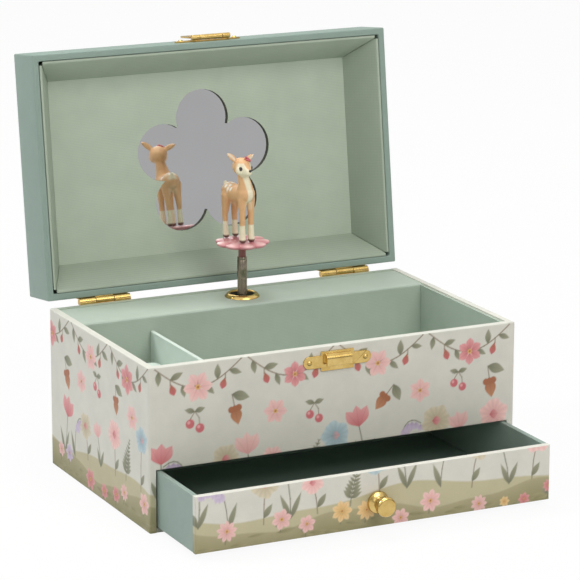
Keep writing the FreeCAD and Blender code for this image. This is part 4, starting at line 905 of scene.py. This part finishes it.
# Pressed brass sheet makes the hinges, the catch and the hasp. Each leaf and plate is held by small
# round-headed brass nails driven into the board.
SHEET_EDGE = 0.18
FLAP_EDGE = 0.22
LEAF_SHEET, PLATE_SHEET = 0.7, 0.8
LEAF_NAILS, PLATE_NAILS = (-9, 9), (-14.5, 14.5)
BASE_LEAF_ROW, CATCH_ROW = 3.2, 71.0
LID_LEAF_ROW, HASP_ROW = 6.4, 5.7
for node in ("left_hinge_base_leaf", "right_hinge_base_leaf", "catch_plate"):
    eased(node, SHEET_EDGE, brass, "base", "brass")
for node in ("left_hinge_lid_leaf", "right_hinge_lid_leaf", "hasp_plate"):
    eased(node, SHEET_EDGE, brass, "lid", "brass")
eased("hasp_flap", FLAP_EDGE, brass, "hasp", "brass")
finish_nodes(brass, "hinge_pins", "hasp_pin")

marks_tree = bpy.data.node_groups.new("pieces set on marks", "GeometryNodeTree")
marks_tree.interface.new_socket("Marks", in_out="INPUT", socket_type="NodeSocketGeometry")
piece_input = marks_tree.interface.new_socket("Piece", in_out="INPUT", socket_type="NodeSocketObject")
size_input = marks_tree.interface.new_socket("Size", in_out="INPUT", socket_type="NodeSocketFloat")
finish_input = marks_tree.interface.new_socket("Finish", in_out="INPUT", socket_type="NodeSocketMaterial")
marks_tree.interface.new_socket("Pieces", in_out="OUTPUT", socket_type="NodeSocketGeometry")
marks_in = marks_tree.nodes.new("NodeGroupInput")
marks_out = marks_tree.nodes.new("NodeGroupOutput")
model = marks_tree.nodes.new("GeometryNodeObjectInfo")
turns = marks_tree.nodes.new("GeometryNodeInputNamedAttribute")
turns.data_type = "FLOAT_VECTOR"
turns.inputs["Name"].default_value = "turn"
facing = marks_tree.nodes.new("FunctionNodeEulerToRotation")
settings = marks_tree.nodes.new("GeometryNodeInstanceOnPoints")
solid = marks_tree.nodes.new("GeometryNodeRealizeInstances")
coated = marks_tree.nodes.new("GeometryNodeSetMaterial")
for origin, target in ((marks_in.outputs["Marks"], settings.inputs["Points"]),
                       (marks_in.outputs["Piece"], model.inputs["Object"]),
                       (model.outputs["Geometry"], settings.inputs["Instance"]),
                       (turns.outputs["Attribute"], facing.inputs["Euler"]),
                       (facing.outputs["Rotation"], settings.inputs["Rotation"]),
                       (marks_in.outputs["Size"], settings.inputs["Scale"]),
                       (settings.outputs["Instances"], solid.inputs["Geometry"]),
                       (solid.outputs["Geometry"], coated.inputs["Geometry"]),
                       (marks_in.outputs["Finish"], coated.inputs["Material"]),
                       (coated.outputs["Geometry"], marks_out.inputs["Pieces"])):
    marks_tree.links.new(origin, target)


def set_on_marks(name, piece, marks, finish, size=1.0, smooth=45):
    """Sets one small piece on every mark. A mark is a place in metres and the turn of the piece there."""
    mesh = bpy.data.meshes.new(name)
    mesh.from_pydata([place for place, turn in marks], [], [])
    turn_values = mesh.attributes.new("turn", "FLOAT_VECTOR", "POINT")
    turn_values.data.foreach_set("vector", [value for place, turn in marks for value in turn])
    group = placed(name, mesh)
    modifier = group.modifiers.new("set on marks", "NODES")
    modifier.node_group = marks_tree
    modifier[piece_input.identifier] = piece
    modifier[size_input.identifier] = size
    modifier[finish_input.identifier] = finish
    bake(group)
    group.data.shade_smooth()
    group.data.set_sharp_from_angle(angle=math.radians(smooth))
    return group


nail_profile = [(0, -0.5), (0.55, -0.5), (0.55, 0.0), (1.15, 0.0), (1.2, 0.15), (0.95, 0.5), (0.5, 0.7),
                (0, 0.76)]
nail = turned("nail_head", nail_profile, 14, brass)
hinge_x = [sum(corner.x for corner in box_mm(side + "_hinge_base_leaf")) / 2 for side in ("left", "right")]
leaf_x = [x + dx for x in hinge_x for dx in LEAF_NAILS]
leaf_row = box_mm("left_hinge_base_leaf")[0].z + BASE_LEAF_ROW
facing_back = Euler((-math.pi / 2, 0, 0))
facing_front = Euler((math.pi / 2, 0, 0))
facing_under = Euler((math.pi - LID_LEAN, 0, 0))
facing_over = Euler((-LID_LEAN, 0, 0))
base_marks = [(Vector((x, CASE_Y + LEAF_SHEET, leaf_row)) * MM, facing_back) for x in leaf_x]
base_marks += [(Vector((x, -CASE_Y - PLATE_SHEET, CATCH_ROW)) * MM, facing_front) for x in PLATE_NAILS]
lid_marks = [(lid_place(x, LID_BACK + LEAF_SHEET, LID_LEAF_ROW), facing_under) for x in leaf_x]
lid_marks += [(lid_place(x, LID_FRONT - PLATE_SHEET, HASP_ROW), facing_over) for x in PLATE_NAILS]
for name, marks, body in (("case_nails", base_marks, "base"), ("lid_nails", lid_marks, "lid")):
    settle(set_on_marks(name, nail, marks, brass), "brass", body)
bpy.data.objects.remove(nail)


# A turned brass grommet lines the hole in the deck, its throat painted dark as a painted shade inside the
# hole. The stem of the figure is a strip of steel rolled into a tube, with an open seam along one side. Its
# foot is a sleeve of close-wound wire over a coil spring.
THROAT = 5.9
grommet_profile = [(THROAT, 75.4), (THROAT, 78.6), (6.0, 79.0), (6.4, 79.3), (6.9, 79.4), (7.5, 79.1),
                   (8.2, 78.4), (8.7, 77.75), (8.7, 77.62), (6.3, 77.6), (6.3, 75.4), (THROAT, 75.4)]
to_spindle = Matrix.Translation((0, SPINDLE_Y * MM, 0))
grommet = turned("deck_grommet_ring", grommet_profile, 72, brass)
# The throat of the grommet takes the same dark finish: painted shade inside the hole.
grommet.data.materials.append(shade_painted_edge)
for face in grommet.data.polygons:
    face.material_index = int(face.center.xy.length < (THROAT + 0.02) * MM)
grommet.data.transform(to_spindle)
settle(grommet, "brass", "base", "deck_grommet")

STEM_OUT, STEM_IN, STEM_FOOT, STEM_HEAD = 2.4, 1.9, 78.8, 97.6
STEM_RIBS = 40
SLEEVE_TOP = 87.8
SEAM = 0.16
WOUND = 0.5
WOUND_DEPTH = 0.09
WOUND_STEPS = 4
SLEEVE_ROOM = 0.05


def close_tube(form, outer, inner, closed):
    """The faces of a tube from the rows of its outer and inner wall, closed round or with an open seam."""
    join_rings(form, outer, closed)
    join_rings(form, inner, closed)
    for end in (0, -1):
        join_rings(form, (outer[end], inner[end]), closed)
        if not closed:
            join_rings(form, [[row[end] for row in wall] for wall in (outer, inner)], False)


stations = [(SLEEVE_TOP + 0.05, 0.05), (SLEEVE_TOP + 0.2, 0), (STEM_HEAD - 1.6, 0), (STEM_HEAD - 1.4, 0.14),
            (STEM_HEAD - 1.1, 0), (STEM_HEAD - 0.2, 0), (STEM_HEAD, 0.15)]
angles = [math.pi + SEAM + 2 * (math.pi - SEAM) * k / STEM_RIBS for k in range(STEM_RIBS + 1)]
form = bmesh.new()
outer, inner = [], []
for height, tuck in stations:
    outer.append([form.verts.new(round_spindle(STEM_OUT - tuck, angle, height)) for angle in angles])
    inner.append([form.verts.new(round_spindle(STEM_IN, angle, height)) for angle in angles])
close_tube(form, outer, inner, False)
settle(made("stem_tube", form, steel, smooth=40), "steel", "figure", "figure_stem")

sleeve_rows = round((SLEEVE_TOP - STEM_FOOT) / WOUND * WOUND_STEPS)
angles = [2 * math.pi * k / STEM_RIBS for k in range(STEM_RIBS)]
outer, inner = [], []
form = bmesh.new()
for step in range(sleeve_rows + 1):
    height = STEM_FOOT + (SLEEVE_TOP - STEM_FOOT) * step / sleeve_rows
    row = []
    for angle in angles:
        groove = 0.5 - 0.5 * math.cos(2 * math.pi * step / WOUND_STEPS - angle)
        row.append(form.verts.new(round_spindle(STEM_OUT - WOUND_DEPTH * groove, angle, height)))
    outer.append(row)
    inner.append([form.verts.new(round_spindle(STEM_IN + SLEEVE_ROOM, angle, height)) for angle in angles])
close_tube(form, outer, inner, True)
BEND_FROM, BEND_TO = (0, 0.043, 0.0785), (0, 0.043, 0.0878)
sleeve = made("stem_sleeve", form, steel, smooth=60)
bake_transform(sleeve)
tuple(BEND_FROM)
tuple(BEND_TO)

WIRE = 0.3
WIRE_SIDES = 8
COIL_RADIUS = 1.8
COILS = 16
COIL_STEPS = COILS * 20
coil_low, coil_high = box_mm("tilt_spring")
rise = coil_high.z - coil_low.z - 2 * WIRE
sides = [2 * math.pi * j / WIRE_SIDES for j in range(WIRE_SIDES)]
form = bmesh.new()
rings = []
for k in range(COIL_STEPS + 1):
    turn = 2 * math.pi * COILS * k / COIL_STEPS
    height = coil_low.z + WIRE + rise * k / COIL_STEPS
    rings.append([form.verts.new(round_spindle(COIL_RADIUS - WIRE + WIRE * math.cos(side), turn,
                                               height + WIRE * math.sin(side))) for side in sides])
join_rings(form, rings)
form.faces.new(rings[0])
form.faces.new(rings[-1])
coil = made("tilt_coil", form, steel, smooth=60)
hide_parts("tilt_spring")
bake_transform(coil)
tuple(BEND_FROM)
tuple(BEND_TO)


# The figure stands on a flower moulded in pink resin: thick puffed petals round a low middle, with a short
# stub below that is pressed into the stem. The tops of the outer petal crowns are painted paler, a painted
# highlight, and the stub is painted darker, a painted shade under the petals.
STAND_FOOT, STAND_TOP = 102.8, 105.8
STUB_TOP = 102.4
STAND_REACH = 7.1
PETALS = 9
PETAL_LENGTH, PETAL_WIDTH, PETAL_THICK = 6.5, 5.3, 1.5
STAND_PINK, STAND_HIGHLIGHT, STUB_SHADE = ink(203, 122, 130), ink(246, 200, 198), ink(152, 90, 86)
pink_resin, tree, shader = new_finish("pink resin", {"Roughness": 0.38, "Coat Weight": 0.25,
                                                     "Coat Roughness": 0.25})
blush = ramp(tree, speckle(tree, 3, 4), (0.92, 0.9, 0.9), WHITE_TONE)
coloured(tree, shader, multiply(tree, painted(tree, "tint"), blush))
relief(tree, shader, speckle(tree, 1.6, 2), 0.05, 0.3)
form = bmesh.new()
bmesh.ops.create_uvsphere(form, u_segments=28, v_segments=16, radius=1)
for v in form.verts:
    x, y, z = v.co
    swell = 0.8 + 0.2 * max(-1, min(1, x))
    plump = math.copysign(abs(z) ** 0.8, z)
    curl = 0.5 * max(0.0, x) ** 2
    v.co = ((x * PETAL_LENGTH - 0.2) * MM, y * PETAL_WIDTH * swell * MM, (plump * PETAL_THICK + curl) * MM)
petal_model = cast("petal", form)
petal_marks = []
for k in range(PETALS):
    angle = 2 * math.pi * (k + 0.5) / PETALS
    place = round_spindle(STAND_REACH, angle, (STAND_FOOT + STAND_TOP) / 2)
    petal_marks.append((place, Euler((0.0, 0.0, angle))))
petals = set_on_marks("stand_petals", petal_model, petal_marks, pink_resin, smooth=70)
bpy.data.objects.remove(petal_model)
stub_foot = box_mm("flower_stand")[0].z
stub_profile = [(0, stub_foot), (1.7, stub_foot), (1.83, stub_foot + 0.3), (1.83, 101.6), (2.3, 102.5),
                (4.2, STAND_FOOT + 0.3), (6.5, 104.3), (4.2, STAND_TOP - 0.25), (0, STAND_TOP - 0.1)]
stub = turned("stand_stub", stub_profile, 48, pink_resin)
stub.data.transform(to_spindle)
for piece in (petals, stub):
    x, y, z = (np.array([v.co for v in piece.data.vertices]) / MM - (0, SPINDLE_Y, 0)).T
    crown = 0.5 - 0.5 * np.cos(PETALS * np.arctan2(y, x))
    # Paler towards the top of each outer petal crown: painted highlight.
    pale = np.clip((np.hypot(x, y) - 4) / 9, 0, 1) * np.clip((z - 103.8) / 1.6, 0, 1) * (0.25 + 0.75 * crown)
    colours = STAND_PINK + (STAND_HIGHLIGHT - STAND_PINK) * pale[:, None]
    # The stub below the stand is painted darker: painted shade under the petals.
    colours[z < STUB_TOP] = STUB_SHADE
    tinted(piece.data, "tint", colours)
settle(petals, "pink_resin", "figure", "flower_stand")
settle(stub, "pink_resin", "figure")


# The fawn is one resin casting, painted by hand: tan coat, cream mask, chest and socks, white spots on the
# rump, dark hooves, eyes and nose, and two red blossoms by the ear. It turns with the stem.
FAWN_AT = Vector((-0.8, 44.0, 105.8))
FAWN_TURN = 0.15
FAWN_VOXEL = 0.3
HEAD_AT = Vector((-1.8, -4.3, 37.6))
EAR_ROOT, EAR_SPAN, EAR_FOOT, EAR_BOW = 3.0, 5.4, 2.2, 0.85
EAR_RISE = {-1: 4.1, 1: 2.6}
EAR_STEPS = 14
TAN, TAN_DARK, CREAM, WHITE = ink(228, 180, 130), ink(196, 142, 96), ink(245, 236, 206), ink(250, 246, 238)
HOOF, EAR_INSIDE, BLOSSOM_RED = ink(112, 86, 74), ink(246, 226, 200), ink(190, 92, 98)
head_way = Matrix.Rotation(0.16, 3, "Z") @ Matrix.Rotation(0.08, 3, "Y")


def add_ball(form, centre, radii, turn=None):
    """A rounded lump of the casting: its centre and half sizes in millimetres."""
    ball = bmesh.ops.create_icosphere(form, subdivisions=3, radius=1)
    matrix = Matrix.Diagonal((*radii, 1))
    if turn is not None:
        matrix = turn.to_4x4() @ matrix
    bmesh.ops.transform(form, matrix=Matrix.Translation(centre) @ matrix, verts=ball["verts"])


def add_limb(form, line):
    """A tapering limb through (x, y, z, radius) points."""
    for start, end in zip(line, line[1:]):
        pieces = max(2, int(math.dist(start[:3], end[:3]) / (0.35 * min(start[3], end[3]))))
        for k in range(pieces + 1):
            x, y, z, radius = (a + (b - a) * k / pieces for a, b in zip(start, end))
            add_ball(form, (x, y, z), (radius,) * 3)


def stand_fawn(form):
    """Brings a form drawn in millimetres from the fawn's feet to its place."""
    bmesh.ops.scale(form, vec=(MM, MM, MM), verts=form.verts)
    bmesh.ops.translate(form, vec=FAWN_AT * MM, verts=form.verts)


back_line = [(0, 8.2, 23.1, 4.5), (0, 3.0, 22.7, 4.2), (0, -1.6, 22.9, 4.4), (0, -5.2, 23.9, 4.6)]
tail_line = [(0, 11.9, 24.6, 1.4), (0, 12.5, 26.6, 0.85)]
neck_line = [(0, -5.0, 25.2, 4.2), (-0.4, -5.1, 28.8, 3.3), (-1.0, -4.7, 31.8, 2.75),
             (-1.4, -4.5, 34.6, 2.8)]
muzzle_line = [(0, -1.3, -0.9, 3.8), (0, -3.2, -1.8, 2.8), (0, -4.5, -2.1, 2.1)]
fore_leg = [(2.3, -5.6, 21.4, 2.4), (2.5, -6.0, 15.2, 1.65), (2.5, -6.0, 9.8, 1.4), (2.55, -6.0, 7.4, 1.45),
            (2.55, -6.1, 2.4, 1.65), (2.55, -6.4, 1.3, 1.7)]
hind_leg = [(2.5, 7.4, 21.2, 3.0), (2.7, 8.2, 16.0, 2.0), (2.75, 9.0, 11.2, 1.45), (2.75, 8.6, 8.0, 1.3),
            (2.75, 8.3, 2.4, 1.5), (2.75, 8.0, 1.3, 1.6)]
form = bmesh.new()
for line in (back_line, tail_line, neck_line):
    add_limb(form, line)
head_start = len(form.verts)
add_ball(form, (0, 0, 0), (4.7, 4.5, 4.4))
add_limb(form, muzzle_line)
for side in (-1, 1):
    add_ball(form, (side * 2.1, -1.5, -1.4), (2.7, 2.5, 2.8))
    for k in range(EAR_STEPS + 1):
        t = k / EAR_STEPS
        broad = 0.5 + math.sin(math.pi * (0.1 + 0.9 * t)) ** 0.8
        spot = (side * (EAR_ROOT + EAR_SPAN * t), 0.6 + 0.7 * t, EAR_FOOT + EAR_RISE[side] * t ** EAR_BOW)
        add_ball(form, spot, (broad, 0.62, broad))
form.verts.ensure_lookup_table()
to_head = Matrix.Translation(HEAD_AT) @ head_way.to_4x4()
bmesh.ops.transform(form, matrix=to_head, verts=form.verts[head_start:])
for side in (-1, 1):
    for leg in (fore_leg, hind_leg):
        add_limb(form, [(side * x, y, z, radius) for x, y, z, radius in leg])
for v in form.verts:
    v.co.z = max(v.co.z, 0.0)
stand_fawn(form)
fawn = cast("fawn_casting", form)
remesh = fawn.modifiers.new("one casting", "REMESH")
remesh.mode = "VOXEL"
remesh.voxel_size = FAWN_VOXEL * MM
smooth = fawn.modifiers.new("soft mould", "SMOOTH")
smooth.factor = 0.5
smooth.iterations = 7
bake(fawn)
fawn.data.shade_smooth()

spots = np.array([v.co for v in fawn.data.vertices]) / MM - np.array(FAWN_AT)
frontward = -np.array([v.normal for v in fawn.data.vertices])[:, 1]
x, y, z = spots.T
head_x, head_y, head_z = ((spots - np.array(HEAD_AT)) @ np.array(head_way)).T
coat = np.repeat(TAN[None, :], len(spots), 0)


def soft(value, edge=0.25):
    """A cover that is full where the value is well above nothing, with a soft edge of some width."""
    return np.clip(0.5 + value / edge / 2, 0, 1)[:, None]


def brush(colour, *covers):
    """Paints the coat with a colour where all the covers meet."""
    coat[:] += (colour - coat) * math.prod(covers)


# Paint of the body: the dark line of the back, the pale belly, then the chest and the front of the neck.
brush(TAN_DARK, 0.6, soft(1.0 - np.abs(x), 1.5), soft(y + 4, 2), soft(z - 25.4, 2))
brush(CREAM, 0.55, soft(20.2 - z, 1.5), soft(1.6 - np.abs(x), 1), soft(z - 16, 1))
neck_x = np.abs(x + 0.15 * np.clip(z - 26, 0, 9))
brush(CREAM, soft(1.55 - neck_x + 0.03 * (z - 28)), soft(frontward - 0.25, 0.3), soft(33.5 - z, 0.6),
      soft(z - 19.4, 0.6), soft(-4.0 - y, 0.6))
# Paint of the face, the socks, the hooves, the tail and the pale rump with its spots.
brow = soft(1.2 - np.abs(head_x), 0.6)[:, 0] * soft(head_z + 0.8, 0.6)[:, 0]
brush(CREAM, soft(np.minimum(-1.3 - head_y, 1.9 - head_z) - 5 * brow, 0.5), soft(head_z + 5.0, 0.5))
brush(CREAM, soft(np.where(y < 0, 8.6, 8.3) - z, 0.3))
brush(HOOF, soft(1.5 - z, 0.3))
brush(CREAM, soft(y - 11.9, 0.6), soft(z - 23.9, 0.6))
brush(CREAM, 0.5, soft(y - 6.0, 2.5), soft(z - 25.6, 1.2))
for spot_x, spot_y in ((1.5, 9.2), (-1.4, 8.6), (3.0, 7.8), (-3.1, 7.4), (0.3, 6.8), (2.2, 5.4), (-2.1, 5.2),
                       (3.7, 5.4), (-3.7, 5.0), (3.2, 3.2), (-3.2, 3.0), (0.9, 10.5), (-0.8, 10.7)):
    brush(WHITE, soft(0.72 - np.hypot(x - spot_x, y - spot_y), 0.2), soft(z - 23.6, 1))
# Paint of the hollow of each ear.
ear_rise = np.where(head_x < 0, EAR_RISE[-1], EAR_RISE[1])
ear_line = EAR_FOOT + ear_rise * np.clip((np.abs(head_x) - EAR_ROOT) / EAR_SPAN, 0, 1) ** EAR_BOW
brush(EAR_INSIDE, soft(0.75 - np.abs(head_z - ear_line), 0.4), soft(np.abs(head_x) - 4.3, 0.4),
      soft(frontward - 0.2, 0.3))
tinted(fawn.data, "tint", coat)
painted_resin, tree, shader = new_finish("painted resin", {"Roughness": 0.48, "Coat Weight": 0.12,
                                                           "Coat Roughness": 0.35})
strokes = ramp(tree, speckle(tree, 0.8, 4, (1, 1, 0.4)), (0.93, 0.92, 0.9), WHITE_TONE)
coloured(tree, shader, multiply(tree, painted(tree, "tint"), strokes))
relief(tree, shader, speckle(tree, 0.9, 3), 0.04, 0.3)
fawn.data.materials.clear()
fawn.data.materials.append(painted_resin)

skin = BVHTree.FromObject(fawn, bpy.context.evaluated_depsgraph_get())


def on_head(start, way):
    """Where a line from inside the head comes out of it, in millimetres from the fawn's feet."""
    inside = HEAD_AT + head_way @ Vector(start)
    way = (head_way @ Vector(way)).normalized()
    hit = skin.ray_cast((inside + FAWN_AT) * MM + way * 30 * MM, -way)[0]
    return hit / MM - FAWN_AT if hit else inside


gloss_paint, tree, shader = new_finish("glossy dark paint", {"Roughness": 0.12, "Coat Weight": 0.6})
coloured(tree, shader, ramp(tree, speckle(tree, 0.6, 2), ink(34, 26, 24), ink(58, 44, 40)))
form = bmesh.new()
for side in (-1, 1):
    eye_turn = head_way @ Euler((0, side * 0.25, side * 0.7)).to_matrix()
    add_ball(form, on_head((side * 1.6, -1.4, -0.6), (side * 0.7, -0.7, 0.0)), (0.8, 0.5, 1.15), eye_turn)
add_ball(form, on_head((0, -4.0, -1.6), (0, -1, 0.12)), (0.9, 0.6, 0.75), head_way)
stand_fawn(form)
eyes = made("fawn_eyes_nose", form, gloss_paint, smooth=80)

form = bmesh.new()
bmesh.ops.create_uvsphere(form, u_segments=12, v_segments=8, radius=1)
for v in form.verts:
    v.co = ((v.co.x * 0.78 + 0.9) * MM, v.co.y * 0.62 * MM, v.co.z * 0.4 * MM)
ear_petal = cast("ear_petal", form)
BLOSSOM_PETALS = 6
petal_cup = Matrix.Rotation(-0.4, 3, "Y")
bloom_marks = []
for across, lean_over in ((2.5, 0.55), (1.0, 0.8)):
    spot = on_head((across * 0.6, -1.3, 1.0), (across * 0.4, -0.9, 3.2))
    tilt = head_way @ Euler((lean_over, 0.22 * across, 0)).to_matrix()
    for k in range(BLOSSOM_PETALS):
        petal_turn = Matrix.Rotation(2 * math.pi * k / BLOSSOM_PETALS, 3, "Z") @ petal_cup
        bloom_marks.append(((spot + FAWN_AT) * MM, (tilt @ petal_turn).to_euler()))
blooms = set_on_marks("ear_blossoms", ear_petal, bloom_marks, painted_resin, smooth=80)
bpy.data.objects.remove(ear_petal)
tinted(blooms.data, "tint", BLOSSOM_RED)
to_fawn = Matrix.Translation(FAWN_AT * MM)
for piece in (fawn, eyes, blooms):
    piece.data.transform(to_fawn @ Matrix.Rotation(FAWN_TURN, 4, "Z") @ to_fawn.inverted())
settle(fawn, "fawn_resin", "figure", "fawn")
settle(eyes, "fawn_resin", "figure")
settle(blooms, "fawn_resin", "figure")


# The picture is taken on a plain pale floor in soft studio light, from the front left and a little above,
# with a long lens. The room is white above and grey at eye level, as the mirror and the metal show.
CAMERA_AT = Vector((-621.07, -1275.51, 451.80)) * MM
YAW, PITCH, ROLL = 0.4563, 0.2494, 0.0024
LENS_PIXELS, PICTURE_PIXELS, SENSOR = 3064.0, 580, 36.0
forward = Vector((math.sin(YAW) * math.cos(PITCH), math.cos(YAW) * math.cos(PITCH), -math.sin(PITCH)))
level = Vector((math.cos(YAW), -math.sin(YAW), 0))
right = level * math.cos(ROLL) + level.cross(forward) * math.sin(ROLL)
upright = right.cross(forward)
lens = bpy.data.cameras.new("camera")
lens.sensor_width = SENSOR
lens.lens = LENS_PIXELS / PICTURE_PIXELS * SENSOR
lens.clip_start = 0.05
lens.clip_end = 50
camera = placed("camera", lens)
camera.matrix_world = Matrix((right, upright, -forward)).transposed().to_4x4()
camera.location = CAMERA_AT
bpy.context.scene.camera = camera

AIM = Vector((0, 0, 0.09))
for name, place, size, power, colour in (("left soft box", (-1.05, 0.6, 1.2), 0.35, 8, (0.95, 0.985, 1.0)),
                                         ("left fill", (-1.3, -0.8, 0.9), 1.0, 2, (0.97, 0.99, 1.0)),
                                         ("front soft box", (0.2, -1.6, 1.5), 1.2, 19, (1.0, 0.97, 0.93)),
                                         ("top soft box", (0.1, 0.0, 1.9), 1.2, 2.5, WHITE_TONE),
                                         ("rear soft box", (0.0, 0.46, 1.7), 0.8, 12, WHITE_TONE)):
    light = bpy.data.lights.new(name, "AREA")
    light.shape = "SQUARE"
    light.size = size
    light.energy = power
    light.color = colour
    soft_box = placed(name, light)
    soft_box.location = place
    soft_box.rotation_euler = (AIM - Vector(place)).to_track_quat("-Z", "Y").to_euler()


def seen_directly(tree):
    """One where the ray comes from the camera or by a reflection, and nothing where it carries light."""
    path = new_node(tree, "LightPath", {}).outputs
    total = path["Is Camera Ray"]
    for kind in ("Is Glossy Ray", "Is Transmission Ray"):
        total = new_node(tree, "Math", {0: total, 1: path[kind]}, operation="MAXIMUM").outputs["Value"]
    return total


ROOM_WALL = (0.43, 0.43, 0.43)
ROOM_LIGHT = 0.38
world = bpy.data.worlds.new("studio")
world.use_nodes = True
bpy.context.scene.world = world
sky = world.node_tree
room = sky.nodes["Background"]
fill_sockets(sky, room, {"Color": (1, 1, 1, 1), "Strength": ROOM_LIGHT})
direction = new_node(sky, "TexCoord", {}).outputs["Generated"]
height = new_node(sky, "SeparateXYZ", {"Vector": direction}).outputs["Z"]
wall_tone = ramp(sky, height, ROOM_WALL, WHITE_TONE, 0.25, 0.45)
walls = new_node(sky, "Background", {"Color": wall_tone, "Strength": 1})
either = new_node(sky, "MixShader", {"Fac": seen_directly(sky), 1: room.outputs["Background"],
                                     2: walls.outputs["Background"]})
fill_sockets(sky, sky.nodes["World Output"], {"Surface": either.outputs["Shader"]})

FLOOR_HALF = 6
FLOOR_GLOW = 0.93
floor_finish, tree, shader = new_finish("pale floor", {"Roughness": 0.9})
coloured(tree, shader, ramp(tree, speckle(tree, 60, 2), (0.76, 0.76, 0.76), (0.78, 0.78, 0.78)))
place = object_place(tree, Scale=(1 / FLOOR_HALF,) * 3)
away = new_node(tree, "VectorMath", {0: place}, operation="LENGTH").outputs["Value"]
glow = new_node(tree, "Emission", {"Color": ramp(tree, away, WHITE_TONE, ROOM_WALL, 0.5, 1), "Strength": 1})
share = new_node(tree, "Math", {0: seen_directly(tree), 1: FLOOR_GLOW}, operation="MULTIPLY")
either = new_node(tree, "MixShader", {"Fac": share.outputs["Value"], 1: shader.outputs["BSDF"],
                                      2: glow.outputs["Emission"]})
fill_sockets(tree, tree.nodes["Material Output"], {"Surface": either.outputs["Shader"]})
form = bmesh.new()
bmesh.ops.create_grid(form, x_segments=8, y_segments=8, size=FLOOR_HALF)
floor = made("studio_floor", form, floor_finish)
bpy.context.scene.view_settings.view_transform = "Standard"
